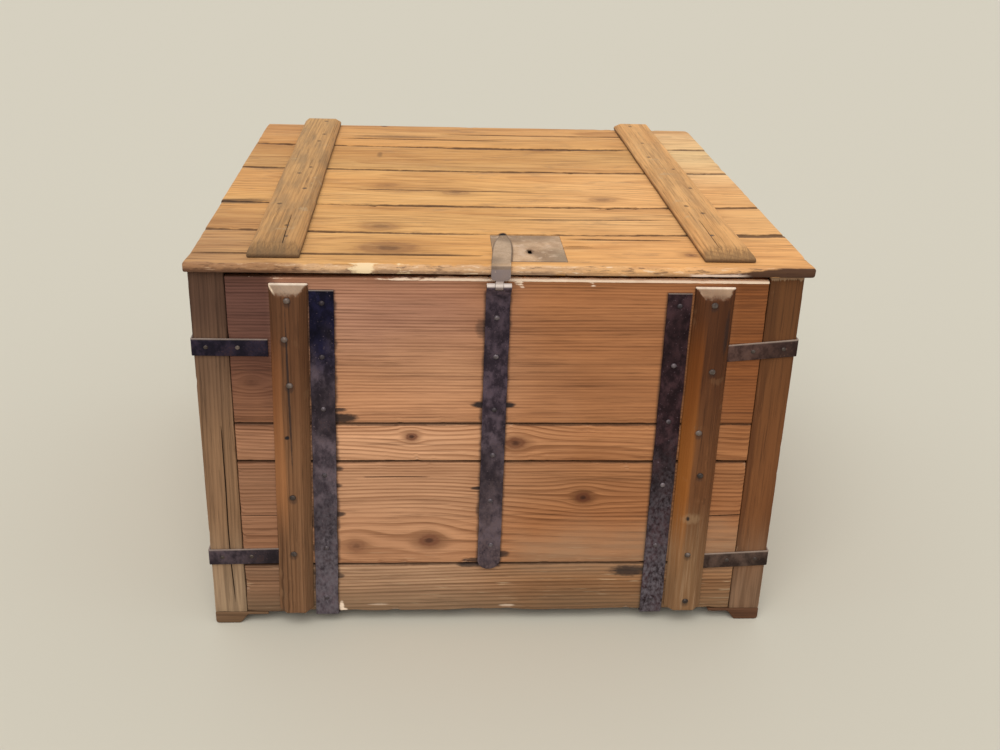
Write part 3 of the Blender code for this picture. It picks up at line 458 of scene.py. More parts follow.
for number, look in FRONT_BOARDS.items():
    node = f"front_board_{number}"
    low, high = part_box(node)
    low.x, high.x = -INNER_X, INNER_X
    low.z += FRONT_SHRINKS[number][0]
    high.z -= FRONT_SHRINKS[number][1]
    top_board = number == 4
    board_mesh = plank(low, high, (120, 1, max(3, round((high.z - low.z) / 0.022))))
    for split in FRONT_CRACKS.get(number, ()):
        crack(board_mesh, 0, 2, 1, 1, *split)
    if top_board:
        saw(board_mesh, 2, [high.z - 0.0048, high.z - 0.0066])
    bare = weather(board_mesh, low, high, 0.0011, 40 + number)
    for vert in board_mesh.verts:
        x, y, z = vert.co
        vert[bare] *= 0.0 if top_board else 0.5
        share = min(1.0, max(0.0, (x + 0.25) / 0.21))
        if number == 1 and z < low.z + RAGGED_FOOT:
            vert.co.z += 0.006 * max(0.0, ripple(x * 16, y * 30, 2.0) + 0.25)
        if top_board and y < low.y + 0.006 and z > high.z - 0.0055:
            rub = 0.5 + 0.5 * ripple(x * 14, 0, 7.0)
            vert.co.z -= 0.0014 * rub
            vert.co.y -= 0.0006
            vert[bare] = 0.15 + (0.75 + 0.30 * rub) * share
        elif top_board and y < low.y + 0.006 and z > high.z - 0.0075:
            torn = ripple(x * 48, 0, 9.0) + 0.6 * ripple(x * 150, 0, 3.0)
            vert[bare] = min(0.8, max(0.0, 1.3 * torn - 0.25)) * share
    pine = wood(f"front_pine_{number}", run=0, across=2, seed=number * 1.7, edges=(low.z, high.z, SEAM_DIRT_AND_SHADE),
                patina_and_light=front_wear_and_light, bare=(0.97, 0.77, 0.60), bare_share=1.0 if top_board else 0.12, fine=290, **look)
    settle(board_mesh, f"{node}_worn", pine, "carcase", "front_pine", node)

# Side and back walls: wide pine boards like the front's, between the same posts.
# They are plain, seamed and worn, and nothing is fixed to them but the iron bands and the hinges.
WALL_TONES = [((0.46, 0.245, 0.130), (0.22, 0.100, 0.046)), ((0.50, 0.262, 0.140), (0.245, 0.108, 0.050)),
              ((0.42, 0.205, 0.105), (0.20, 0.082, 0.038))]
INNER_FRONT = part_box("post_front_left")[1].y + CLEARANCE
INNER_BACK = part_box("post_back_left")[0].y - CLEARANCE


def wall_shade_and_dirt(place, axes, colour):
    """Darker towards the lid, which is painted shade, and grey with dirt at the foot."""
    z = axes[2]
    cloud = place.scatter(5, 5, 5)
    # The multiply towards the lid is painted shade.
    return colour.coated(((0.62, 0.55, 0.52), z.rise(0.35, 0.75, cloud, 0.4), "MULTIPLY"),
                         ((0.16, 0.110, 0.068), z.rise(0.13, 0.03, cloud, 0.1) * 0.7))


for wall, run, sink in (("back", 0, -1), ("left", 1, 1), ("right", 1, -1)):
    for number, (early, late) in enumerate(WALL_TONES, start=1):
        node = f"{wall}_board_{number}"
        low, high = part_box(node)
        low[run], high[run] = (-INNER_X, INNER_X) if run == 0 else (INNER_FRONT, INNER_BACK)
        middle = (low.z + high.z) / 2
        board_mesh = plank(low, high, (110, 1, 8) if run == 0 else (1, 110, 8))
        crack(board_mesh, run, 2, 1 - run, sink, middle - 0.03 + 0.02 * number, -0.34 + 0.1 * number,
              0.2 + 0.1 * number, 0.004, 0.0011, number)
        weather(board_mesh, low, high, 0.0011, 60 + number + 4 * run + sink)
        for vert in board_mesh.verts:
            if number == 1 and vert.co.z < low.z + RAGGED_FOOT:
                vert.co.z += 0.005 * max(0.0, ripple(vert.co[run] * 16, sink, 4.0) + 0.25)
        knots = [(-0.31 + 0.27 * number + 0.1 * sink, middle + 0.02 * number - 0.04, 0.011, 0.9),
                 (0.36 - 0.3 * number, middle + 0.05, 0.007, 0.8)]
        pine = wood(f"{wall}_pine_{number}", early, late, run, 2, 0.0040, (0.15 * number, 0.25 * sink),
                    number * 2.3 + run * 5 + sink, lean=(0.02, 0.03), knots=knots, edges=(low.z, high.z, SEAM_DIRT_AND_SHADE),
                    patina_and_light=wall_shade_and_dirt, bare_share=0.2)
        settle(board_mesh, f"{node}_worn", pine, "carcase", "front_pine", node)

# Floor: bare pine boards on three bearers, sawn and never finished.
# They lie loose between the walls, notched round the posts, so the solids' own shapes serve.


def dress(finish, *nodes):
    """A finish on solids that keep their own shape."""
    for node in nodes:
        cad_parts[node].data.materials.clear()
        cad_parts[node].data.materials.append(finish)


INNER_LOOK = dict(early=(0.52, 0.31, 0.165), late=(0.29, 0.145, 0.068), ring=0.0045, heart=(0.1, -0.12),
                  lean=(0.05, 0.03))
dress(wood("floor_pine", run=0, across=1, seed=31, **INNER_LOOK), *(f"floor_board_{number}" for number in range(1, 5)))
dress(wood("bearer_pine", run=1, across=0, seed=32, **INNER_LOOK),
      *(f"floor_bearer_{side}" for side in ("left", "centre", "right")))

# Bracket feet: short shaped blocks under the posts, with a flat sole, an ogee and a thin wing.
# They are of the posts' wood and dark, the left ones as painted shadow, and rounded at the outer end.
# The left feet's dark tones are painted shadow.
FOOT_TONES_AND_SHADOW = {"left": ((0.165, 0.098, 0.055), (0.075, 0.042, 0.023)),
              "right": ((0.135, 0.062, 0.032), (0.065, 0.028, 0.014))}


def stock(node):
    """A node's solid as one welded mesh, its flat faces whole again."""
    mesh = bmesh.new()
    mesh.from_mesh(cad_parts[node].data)
    bmesh.ops.remove_doubles(mesh, verts=mesh.verts, dist=0.00001)
    bmesh.ops.dissolve_limit(mesh, angle_limit=math.radians(0.5), verts=mesh.verts, edges=mesh.edges)
    return mesh


def ease(mesh, width, segments=2):
    """Rounds every outer arris."""
    sharp = [e for e in mesh.edges if e.is_manifold and e.is_convex and e.calc_face_angle() > math.radians(28)]
    round_off(mesh, sharp, width, segments)


for number, corner in enumerate(CORNERS):
    node = f"foot_{corner}"
    foot_mesh = stock(node)
    ease(foot_mesh, 0.0014)
    foot_wood = wood(f"foot_wood_{number}", *FOOT_TONES_AND_SHADOW[corner.split("_")[1]], 0, 2, 0.005, (0.2, 0.2), 50 + number)
    settle(foot_mesh, f"{node}_worn", foot_wood, "carcase", "post_wood", node)

# Front battens: two stout upright battens with broad sloping sides and a sloped top end, nailed on.
# Their dark finish is rubbed to orange along the slopes and to pale end grain on the top.
BATTEN_BACK, BATTEN_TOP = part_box("front_batten_left")[1].y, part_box("front_batten_left")[1].z
BATTEN_RUBS = ((-0.3615, (0.38, 0.158, 0.058), 0.64, 0.18), (0.370, (0.32, 0.105, 0.015), 0.67, 0.08))


def batten_wear_and_light(place, axes, colour):
    """Orange on the left slope, dark in the middle at the top, which is painted shade, dusty pale on the top slope, and
    a painted highlight along the top edge.
    """
    x, y, z = axes
    cloud, smear = place.scatter(60, 20, 5), place.scatter(260, 200, 9, 3.0)
    mottle = place.scatter(140, 140, 60, 4.0, 0.7)
    for middle, rubbed, top, foot in BATTEN_RUBS:
        side = (x - middle).rise(-0.009, -0.017, smear, 0.012) * (x - middle).rise(-0.042, -0.038)
        side = side * z.rise(top, top - 0.12) * z.rise(foot, foot + 0.12)
        colour = colour.mixed(rubbed, side * (0.30 + 0.70 * cloud))
    at_foot, to_right, end = z.rise(0.30, 0.12), x.rise(-0.1, 0.1), z - BATTEN_TOP
    slope = (end + (BATTEN_BACK - y)).rise(0.0045, 0.0015) * end.rise(-0.021, -0.017)
    from_middle = abs(abs(x - 0.0042) - 0.3658)
    within = (from_middle - (end + 0.018) * 0.80).rise(0.0215, 0.0165, smear, 0.008)
    pale = slope * within * end.rise(-0.0185, -0.0100, mottle, 0.012)
    return colour.coated(
        # Darker towards the top: painted shade.
        ((0.60, 0.52, 0.48), z.rise(0.32, 0.58, cloud, 0.2), "MULTIPLY"),
        ((0.25, 0.140, 0.066), at_foot * to_right * (0.35 + 0.5 * cloud)),
        ((0.33, 0.21, 0.120), smear.rise(0.44, 0.74) * at_foot * (0.10 + 0.50 * to_right)),
        (place.blend((1.00, 0.80, 0.60), (0.80, 0.58, 0.40), to_right), pale * (0.75 + 0.5 * cloud)),
        ((0.30, 0.20, 0.115), pale * mottle.rise(0.47, 0.62) * 0.6),
        # The bright line along the top edge is a painted highlight.
        ((1.0, 0.88, 0.74), end.rise(-0.0035, -0.0010) * (0.35 + 0.8 * cloud)))


def iron(name, dark, pale, seed, rust=0.25, dust_and_light=None, rough=0.5, metal=0.2, gloss=0.25):
    """Forged iron: uneven black scale over greyer metal, with brown bloom, hammer marks and dust where it lies, any
    painted light that a finish adds, and bright pits, partly bare metal and partly painted glints.
    """
    finish, shader, place = new_finish(name)
    x, y, z = place.axes()
    scale = place.speckle(x * 55 + seed, y * 55, z * 40, 4.0, 0.65)
    cloud = place.speckle(x * 9 + seed, y * 9, z * 7)
    pit = place.scatter(300, 300, 300)
    colour = place.blend(dark, pale, scale.rise(0.36, 0.66)).coated(
        (shade(dark, 0.5), cloud.rise(0.55, 0.38) * 0.7),
        ((0.085, 0.035, 0.018), (scale * 0.5 + pit * 0.5).rise(0.52, 0.64) * rust))
    if dust_and_light:
        colour = dust_and_light(place, (x, y, z), colour)
    # Bright specks: partly bare metal, partly painted glints.
    colour = colour.mixed(shade(pale, 2.2), pit.rise(0.64, 0.76) * 0.35)
    feed(shader, colour, rough + 0.22 * pit - 0.12 * cloud, scale * 0.9 + pit * 0.35, 0.0014, gloss)
    shader.inputs["Metallic"].default_value = metal
    return finish


def nails(name, finish, body, slot, seats):
    """Forged nails as one piece: low uneven domes, each with its place, way out, radius, seed and height."""
    mesh = bmesh.new()
    for place, normal, radius, seed, rise in seats:
        normal = Vector(normal)
        tilt = normal.to_track_quat("Z", "Y").to_matrix().to_4x4()
        seat = Matrix.Translation(place) @ tilt @ Matrix.Diagonal((radius, radius * 0.92, radius * rise, 1))
        made = bmesh.ops.create_uvsphere(mesh, u_segments=12, v_segments=8, radius=1, matrix=seat)
        for vert in made["verts"]:
            vert.co += normal * radius * 0.18 * noise.noise(vert.co * 160 + Vector((seed, 0, 0)))
    settle(mesh, name, finish, body, slot)


nail_iron = iron("nail_iron", (0.062, 0.046, 0.040), (0.200, 0.160, 0.140), 3, rust=0.4, rough=0.40, metal=0.5)
NAIL_RISE = 0.55
BATTEN_WIDTHS = {"left": 0.064, "right": 0.070}
BATTEN_LEANS = {"left": 0.0175, "right": 0.0}
BATTEN_LEVEL = 0.45
BATTEN_RISE = 0.0095
BATTEN_NAILS = {
    "left": [(0.003, 0.665), (-0.004, 0.595), (0.001, 0.509), (-0.003, 0.287), (-0.006, 0.168)],
    "right": [(-0.003, 0.663), (0.005, 0.539), (-0.007, 0.419), (0.004, 0.332), (-0.003, 0.162), (0.002, 0.058)],
}
BATTEN_MARKS = {"left": [(0.408, -0.370, 0.004, 0.004, 1.0), (0.50, -0.3635, 0.150, 0.0020, 0.8)],
                "right": [(0.241, 0.360, 0.006, 0.005, 1.0), (0.61, 0.394, 0.045, 0.006, 0.6)]}
BATTEN_LOOKS = {"left": dict(early=(0.205, 0.104, 0.051), late=(0.080, 0.036, 0.016)),
                "right": dict(early=(0.170, 0.068, 0.025), late=(0.062, 0.021, 0.007),
                              chips=[(0.241, 0.366, 0.014, 0.020, 0.4)])}
for number, side in enumerate(("left", "right")):
    node = f"front_batten_{side}"
    low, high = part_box(node)
    middle = low.x + BATTEN_WIDTHS[side] / 2
    batten_mesh = stock(node)
    seat = Vector((low.x, 0, high.z))
    stretch = (BATTEN_WIDTHS[side] / (high.x - low.x), 1, 1 - BATTEN_RISE / (high.z - low.z))
    bmesh.ops.translate(batten_mesh, vec=-seat, verts=batten_mesh.verts)
    bmesh.ops.scale(batten_mesh, vec=stretch, verts=batten_mesh.verts)
    bmesh.ops.translate(batten_mesh, vec=seat, verts=batten_mesh.verts)
    ease(batten_mesh, 0.0022, 3)
    saw(batten_mesh, 2, [low.z + 0.017 + 0.009 * step for step in range(71)])
    bare = batten_mesh.verts.layers.float.new("bare")
    for vert in batten_mesh.verts:
        vert.co.x += BATTEN_LEANS[side] * (vert.co.z - BATTEN_LEVEL)
        if vert.co.y < high.y - 0.002:
            rub = noise.noise(vert.co * 14 + Vector((number * 9, 0, 0)))
            chip = max(0.0, noise.noise(vert.co * 55 + Vector((number * 5, 3, 0))) - 0.3)
            vert.co.y += 0.0010 * (0.5 + 0.5 * rub) + 0.004 * chip
            vert.co.x += 0.0014 * ripple(vert.co.z * 8, number * 3.0, 1 if vert.co.x > middle else 4)
            vert[bare] = min(1.0, 2.5 * chip)
    # A dark ring a little below each nail: iron stain and painted shadow under its head.
    rings = [(level - 0.004, middle + shift, 0.010, 0.0080, 0.45) for shift, level in BATTEN_NAILS[side]]
    batten_wood = wood(f"front_batten_wood_{side}", run=2, across=0, ring=0.0042, heart=(0.3, 0.35), seed=70 + number,
                       lean=(0.02, 0), patina_and_light=batten_wear_and_light, stains=rings + BATTEN_MARKS[side], bare=(0.34, 0.22, 0.12),
                       bare_share=0.08, **BATTEN_LOOKS[side])
    settle(batten_mesh, f"{node}_worn", batten_wood, "carcase", "batten_wood", node)
    nails(f"{node}_nails", nail_iron, "carcase", "pin_iron",
          [((middle + shift, low.y + 0.0008, level), (0, -1, 0), 0.0060, level, NAIL_RISE)
           for shift, level in BATTEN_NAILS[side]])

# Front straps: flat forged bars beside the battens and down the middle, nailed through to the boards.
# The outer two turn under the boards at the foot; the middle one is rounded there and carries the hasp.
STRAP_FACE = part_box("front_strap_left")[0].y
STRAP_PIVOT = 0.665
PIN_Z = (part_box("hasp_pin")[0].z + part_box("hasp_pin")[1].z) / 2


def strap_wear_and_light(outer):
    """Grey and scuffed towards the foot; the outer straps blacker above, which is painted shade, with pale cut tops,
    partly worn metal and partly painted highlight; the middle one darker above, which is painted shade, and bright on
    its knuckles, which is painted highlight.
    """
    def dust_and_light(place, axes, colour):
        x, y, z = axes
        cloud, scuff = place.scatter(30, 30, 12), place.scatter(170, 170, 110, 4.0, 0.7)
        scuffed = z.rise(0.45, 0.05, cloud, 0.35) * scuff.rise(0.30, 0.70)
        if outer:
            cut = (z - STRAP_TOP).rise(-0.0014, -0.0006) * (z - STRAP_TOP).rise(0.002, 0.001)
            return colour.coated(
                # Blacker above on the left strap: painted shade.
                ((0.10, 0.12, 0.34), z.rise(0.45, 0.62, cloud, 0.2) * x.rise(-0.20, -0.27), "MULTIPLY"),
                ((0.44, 0.29, 0.29), x.rise(0.20, 0.27), "MULTIPLY"),
                # The pale line at the cut top is worn metal and painted highlight.
                ((0.138, 0.120, 0.138), scuffed), ((0.36, 0.29, 0.25), cut * 0.6))
        # The middle strap: darker above as painted shade, and a painted highlight on its knuckles.
        return colour.coated(((0.76, 0.72, 0.80), z.rise(0.30, 0.50), "MULTIPLY"), ((0.126, 0.088, 0.092), scuffed),
                             ((0.68, 0.59, 0.54), (z - PIN_Z).rise(-0.001, 0.003) * 0.85))
    return dust_and_light


STRAP_TONES = ((0.036, 0.026, 0.034), (0.132, 0.099, 0.118))
strap_iron = iron("strap_iron", *STRAP_TONES, 11, rust=0.18, dust_and_light=strap_wear_and_light(True), gloss=0.10)
centre_strap_iron = iron("centre_strap_iron", *STRAP_TONES, 14, rust=0.2, dust_and_light=strap_wear_and_light(False), gloss=0.10)
strap_nail_iron = iron("strap_nail_iron", (0.060, 0.048, 0.056), (0.19, 0.16, 0.175), 5, rust=0.2, rough=0.38,
                       metal=0.5)
STRAP_NAILS = {"front_strap_left": [0.655, 0.556, 0.456, 0.324, 0.170, 0.060],
               "front_strap_right": [0.655, 0.543, 0.433, 0.303, 0.173, 0.053],
               "centre_strap": [0.631, 0.558, 0.456, 0.365, 0.270, 0.175]}
for number, (node, levels) in enumerate(STRAP_NAILS.items()):
    low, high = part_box(node)
    middle = (low.x + high.x) / 2
    lean = STRAP_LEANS[node]
    strap_mesh = stock(node)
    ease(strap_mesh, 0.0007)
    saw(strap_mesh, 2, [low.z + 0.02 + 0.010 * step for step in range(int((high.z - low.z - 0.05) / 0.010))])
    for vert in strap_mesh.verts:
        if vert.co.z < STRAP_PIVOT and vert.co.y < STRAP_FACE + 0.0045:
            edge = 1 if vert.co.x > middle else -1
            vert.co.x += 0.0011 * ripple(vert.co.z * 21, edge * 4.0, number) - lean * (STRAP_PIVOT - vert.co.z)
            vert.co.y += 0.0005 * (ripple(vert.co.x * 50, vert.co.z * 22, number) - 0.2)
    finish = centre_strap_iron if node == "centre_strap" else strap_iron
    settle(strap_mesh, f"{node}_forged", finish, "carcase", "strap_iron", node)
    seats = []
    for level in levels:
        shift = 0.004 * ripple(level * 31, number * 3.0, 0) - lean * (STRAP_PIVOT - level)
        seats.append(((middle + shift, STRAP_FACE + 0.0003, level), (0, -1, 0), 0.0052, level, NAIL_RISE))
    nails(f"{node}_nails", strap_nail_iron, "carcase", "pin_iron", seats)

# Side bands: thin iron bands along each side, bent round the corners onto the front and the back.
# They are nailed every hand's breadth, run a little out of level, and their upper edges are bright, partly rubbed and
# partly painted highlight.
# The left upper band's near-black tones are partly painted shade.
BAND_TONES = {"left_upper": ((0.008, 0.006, 0.013), (0.026, 0.019, 0.036)),
              "left_lower": ((0.028, 0.020, 0.026), (0.082, 0.060, 0.072)),
              "right_upper": ((0.041, 0.021, 0.018), (0.108, 0.060, 0.050)),
              "right_lower": ((0.035, 0.021, 0.017), (0.098, 0.063, 0.050))}
BAND_TILTS = {"left_upper": (0.002, 0.002), "left_lower": (0.006, 0.003),
              "right_upper": (-0.004, 0.007), "right_lower": (-0.010, -0.004)}
BACK_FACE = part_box("back_board_1")[1].y
SIDE_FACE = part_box("post_front_right")[1].x
BAND_INNER = 0.405
BAND_FADE = 0.3
BAND_PROUD = 0.0032


def band_rim_wear_and_highlight(top, inner_lift, corner_lift):
    """A bright line along the upper edge, partly rubbed metal and partly painted highlight, as far out of level as the
    band.
    """
    def rim(place, axes, colour):
        x, y, z = axes
        scuff = place.scatter(20, 20, 20)
        share = (SIDE_FACE - abs(x)) / (SIDE_FACE - BAND_INNER)
        fade = place.sum("MAXIMUM", FRONT_FACE + BAND_FADE - y, 0.0) / BAND_FADE
        level = z - fade * (corner_lift + (inner_lift - corner_lift) * share)
        return colour.mixed((0.46, 0.36, 0.30), level.rise(top - 0.0035, top + 0.0005) * (0.3 + 0.6 * scuff))
    return rim


for number, (key, tones) in enumerate(BAND_TONES.items()):
    node = f"side_band_{key}"
    sign = -1 if "left" in key else 1
    low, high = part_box(node)
    inner_lift, corner_lift = BAND_TILTS[key]

    def lift(x, y):
        """How far the band stands above its level here."""
        if y < FRONT_FACE + 0.001:
            share = (SIDE_FACE - abs(x)) / (SIDE_FACE - BAND_INNER)
            return corner_lift + (inner_lift - corner_lift) * share
        return corner_lift * max(0.0, FRONT_FACE + BAND_FADE - y) / BAND_FADE

    band_mesh = stock(node)
    ease(band_mesh, 0.0006)
    saw(band_mesh, 1, [low.y + 0.03 + 0.03 * step for step in range(35)])
    for vert in band_mesh.verts:
        vert.co.z += lift(vert.co.x, vert.co.y) + 0.0010 * ripple(vert.co.y * 9, vert.co.x * 9, sign * 2.0)
    band_iron = iron(f"band_iron_{key}", *tones, 17 + number, rust=0.2, dust_and_light=band_rim_wear_and_highlight(high.z, inner_lift, corner_lift),
                     gloss=0.12)
    settle(band_mesh, f"{node}_forged", band_iron, "carcase", "strap_iron", node)
    z = (low.z + high.z) / 2
    seats = []
    for reach in (0.022, 0.076):
        x = sign * (SIDE_FACE - reach)
        seats.append(((x, FRONT_FACE - BAND_PROUD, z + lift(x, FRONT_FACE)), (0, -1, 0), 0.0042, reach + z, 0.4))
    for reach in (0.03, 0.10):
        x = sign * (SIDE_FACE - reach)
        seats.append(((x, BACK_FACE + BAND_PROUD, z), (0, 1, 0), 0.0045, reach + z, NAIL_RISE))
    for step in range(6):
        x, y = sign * (SIDE_FACE + BAND_PROUD), FRONT_FACE + 0.05 + 0.194 * step
        seats.append(((x, y, z + lift(SIDE_FACE, y)), (sign, 0, 0), 0.0045, step + z, NAIL_RISE))
    nails(f"{node}_nails", nail_iron, "carcase", "pin_iron", seats)

# Strap hinges: iron straps up the back, rolled into knuckles at the lid, with leaves under the lid.
# Each turns on a forged pin, and both halves are nailed through.
hinge_iron = iron("hinge_iron", (0.028, 0.022, 0.026), (0.085, 0.066, 0.064), 23, rust=0.3)
pin_iron = iron("pin_iron", (0.05, 0.042, 0.040), (0.16, 0.13, 0.11), 29, rust=0.4, rough=0.4, metal=0.8)
HINGE_PROUD = 0.0042
LID_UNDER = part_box("lid_plank_5")[0].z
for side in ("left", "right"):
    low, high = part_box(f"hinge_strap_{side}")
    middle = (low.x + high.x) / 2
    for node, body in ((f"hinge_strap_{side}", "carcase"), (f"hinge_leaf_{side}", "lid")):
        hinge_mesh = stock(node)
        ease(hinge_mesh, 0.0005)
        settle(hinge_mesh, f"{node}_forged", hinge_iron, body, "strap_iron", node)
    dress(pin_iron, f"hinge_pin_{side}")
    nails(f"hinge_strap_{side}_nails", nail_iron, "carcase", "pin_iron",
          [((middle, BACK_FACE + HINGE_PROUD, 0.08 + 0.115 * step), (0, 1, 0), 0.0055, step, NAIL_RISE)
           for step in range(6)])
    leaf_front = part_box(f"hinge_leaf_{side}")[0].y
    nails(f"hinge_leaf_{side}_nails", nail_iron, "lid", "pin_iron",
          [((middle, leaf_front + 0.03 + 0.075 * step, LID_UNDER - HINGE_PROUD), (0, 0, -1), 0.0050, step, NAIL_RISE)
           for step in range(3)])

# Lid planks: five wide honey-coloured pine planks across the chest, with dark bowed seams and drying cracks.
# The front plank takes the lock, and its front edge is chipped to pale bare wood.
LID_LOOKS = {
    1: dict(heart=(-0.47, 0.57), lean=(0.01, 0.02), ring=0.0062, sway=0.012,
            knots=[(-0.192, -0.450, 0.032, 0.55), (0.335, -0.475, 0.008, 0.6)],
            stains=[(-0.50, -0.350, 0.05, 0.008, 0.5), (0.0105, -0.370, 0.008, 0.008, 0.9)]),
    2: dict(heart=(-0.22, 0.55), lean=(0.02, 0.015), ring=0.0066, sway=0.010,
            knots=[(-0.212, -0.325, 0.020, 0.4)],
            stains=[(-0.485, -0.174, 0.065, 0.009, 0.6), (0.0113, -0.3625, 0.0080, 0.0090, 1.0)]),
    3: dict(heart=(0.02, 0.58), lean=(-0.02, 0.03), ring=0.0072, sway=0.010,
            knots=[(-0.070, -0.080, 0.019, 0.45), (-0.210, -0.040, 0.017, 0.3), (0.225, -0.115, 0.017, 0.4)],
            stains=[(-0.49, -0.158, 0.06, 0.011, 0.6), (-0.47, 0.104, 0.05, 0.010, 0.5)]),
    4: dict(heart=(0.18, 0.57), lean=(0.02, 0.02), ring=0.0080, sway=0.010,
            knots=[(0.136, 0.318, 0.020, 0.5)],
            stains=[(-0.236, 0.240, 0.008, 0.034, 0.40), (-0.47, 0.335, 0.05, 0.013, 0.5)]),
    5: dict(heart=(0.50, 0.56), lean=(-0.02, 0.02), ring=0.0080, sway=0.010,
            stains=[(-0.236, 0.552, 0.012, 0.014, 0.7), (-0.20, 0.43, 0.10, 0.016, 0.40)]),
}
LID_TONES = {1: 1.0, 2: 0.95, 3: 1.0, 4: 0.86, 5: 1.0}
LID_CRACKS = {1: [(-0.489, -0.545, -0.030, 0.005, 0.0038), (-0.391, 0.116, 0.335, 0.005, 0.0036),
                  (-0.432, 0.117, 0.168, 0.004, 0.0030)],
              2: [(-0.250, 0.02, 0.34, 0.003, 0.0022)],
              3: [(-0.052, -0.30, 0.10, 0.003, 0.0024)],
              4: [],
              5: [(0.415, -0.34, 0.06, 0.005, 0.0042), (0.470, -0.10, 0.40, 0.004, 0.0032)]}
LID_SHIFTS = {1: (0.007, 0.004), 2: (0.007, 0.003), 3: (0.005, 0.003), 4: (0.0045, 0.003), 5: (0.0045, 0.004)}
LID_BOWS = (0.0, 0.019, 0.018, 0.014, 0.021, 0.0)
LID_GAPS = {1: (0.40, 0.60, 0.0100), 2: (-0.40, -0.10, 0.0020), 3: (0.2, 0.55, 0.0015), 4: (-0.11, 0.36, 0.0080)}
LID_ARRIS = 0.0038
LID_SEAM = 0.0011
WORN_EDGE = 0.0095
EDGE_CHIPS = ((-0.230, 0.025, 0.90), (-0.165, 0.016, 0.55), (-0.272, 0.012, 0.40))
PLATE_LOW, PLATE_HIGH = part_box("lock_plate")
CASE_LOW, CASE_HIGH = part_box("lock_case")
LID_HALF, LID_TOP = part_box("lid_plank_1")[1].x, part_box("lid_plank_1")[1].z
LID_FRONT, LID_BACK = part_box("lid_plank_1")[0].y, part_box("lid_plank_5")[1].y


def lid_wear_and_light(seams, splits):
    """Greyer at the front's left, brighter and paler to the right, partly dust and partly painted sheen, streaked and
    smudged, with painted light and shade on the front edge, and dark along the seams and cracks with dirt and painted
    shade.
    """
    def wear_and_light(place, axes, colour):
        x, y, z = axes
        cloud, ragged = place.scatter(4, 9, 1), place.scatter(30, 55, 55, 4.0, 0.7)
        streaks = place.speckle(x * 3.2, (y + (cloud - 0.5) * 0.04) * 48, z * 48, 5.0, 0.68)
        smudge = place.scatter(8, 20, 1, 6.0, 0.72).rise(0.54, 0.72)
        splinters = place.scatter(34, 230, 260, 5.0, 0.7)
        behind, level = y - LID_FRONT, z - LID_TOP
        front = behind.rise(0.0075, 0.0025, ragged, 0.012)
        face = behind.rise(0.0060, 0.0030, ragged, 0.004)
        under = level.rise(-0.008, -0.014, ragged, 0.014)
        to_left, to_right = x.rise(-0.29, -0.39, ragged, 0.12), x.rise(0.08, 0.18)
        far_right = x.rise(0.40, 0.44, cloud, 0.1) * y.rise(-0.10, 0.30) * y.rise(0.60, 0.45)
        slant = x - (level + 0.009) * 9
        torn = x.rise(0.31, 0.33, ragged, 0.06) * x.rise(0.43, 0.40) * level.rise(-0.011, -0.013, splinters, 0.016)
        colour = colour.coated(
            # Brighter and paler to the right and at the far right: partly dust, partly painted sheen.
            ((1.11, 1.12, 1.24), x.rise(-0.05, 0.30, cloud, 0.2) * y.rise(0.30, 0.0), "MULTIPLY"),
            ((1.20, 1.50, 2.05), far_right, "MULTIPLY"),
            ((0.67, 0.66, 0.80), x.rise(-0.28, -0.50, cloud, 0.2) * y.rise(-0.10, -0.45), "MULTIPLY"),
            ((0.90, 0.89, 0.92), x.rise(-0.38, -0.46) * y.rise(-0.12, 0.0), "MULTIPLY"),
            ((0.88, 0.86, 0.92), y.rise(0.25, 0.55, cloud, 0.2), "MULTIPLY"),
            ((0.27, 0.130, 0.050), streaks.rise(0.54, 0.70) * 0.45),
            ((0.88, 0.56, 0.260), streaks.rise(0.46, 0.32) * 0.32),
            ((0.25, 0.145, 0.080), smudge * 0.40),
            # The front edge is pale above, partly wear and partly painted light, and darker below, which is painted
            # shade.
            ((0.58, 0.385, 0.250), front * (0.6 - 0.4 * to_right)),
            ((0.150, 0.090, 0.066), front * under * (0.65 - 0.25 * to_right)),
            ((0.120, 0.068, 0.046), front * splinters.rise(0.53, 0.63) * 0.70),
            ((0.84, 0.66, 0.47), front * splinters.rise(0.44, 0.32) * 0.80),
            ((0.60, 0.50, 0.42), front * to_left, "MULTIPLY"),
            ((0.72, 0.66, 0.66), front * to_left * under, "MULTIPLY"),
            ((0.050, 0.020, 0.012), face * slant.rise(0.375, 0.420, ragged, 0.1) * 0.95),
            ((0.86, 0.66, 0.54), face * torn * 0.85))
        arch = 1 - (x / LID_HALF) * (x / LID_HALF)
        # Dark along cracks and seams: dirt and painted shade in the gaps.
        for split, bow, start, end, half in splits:
            off = abs(y - split + arch * bow).rise(2.0 * half, 0.5 * half, ragged, 0.006)
            reach = x.rise(start - 0.01, start + 0.06) * x.rise(end + 0.01, end - 0.06)
            colour = colour.mixed((0.085, 0.040, 0.020), off * reach * 0.8)
        for edge, bow, into, start, end, gap in seams:
            opened = x.rise(start, start + 0.06) * x.rise(end, end - 0.06)
            off = (y - edge + arch * bow) * into - opened * gap + (ragged - 0.5) * 0.013
            colour = colour.mixed((0.070, 0.033, 0.017), off.rise(0.0075, 0.0010, cloud, 0.010) * 0.85)
        return colour
    return wear_and_light


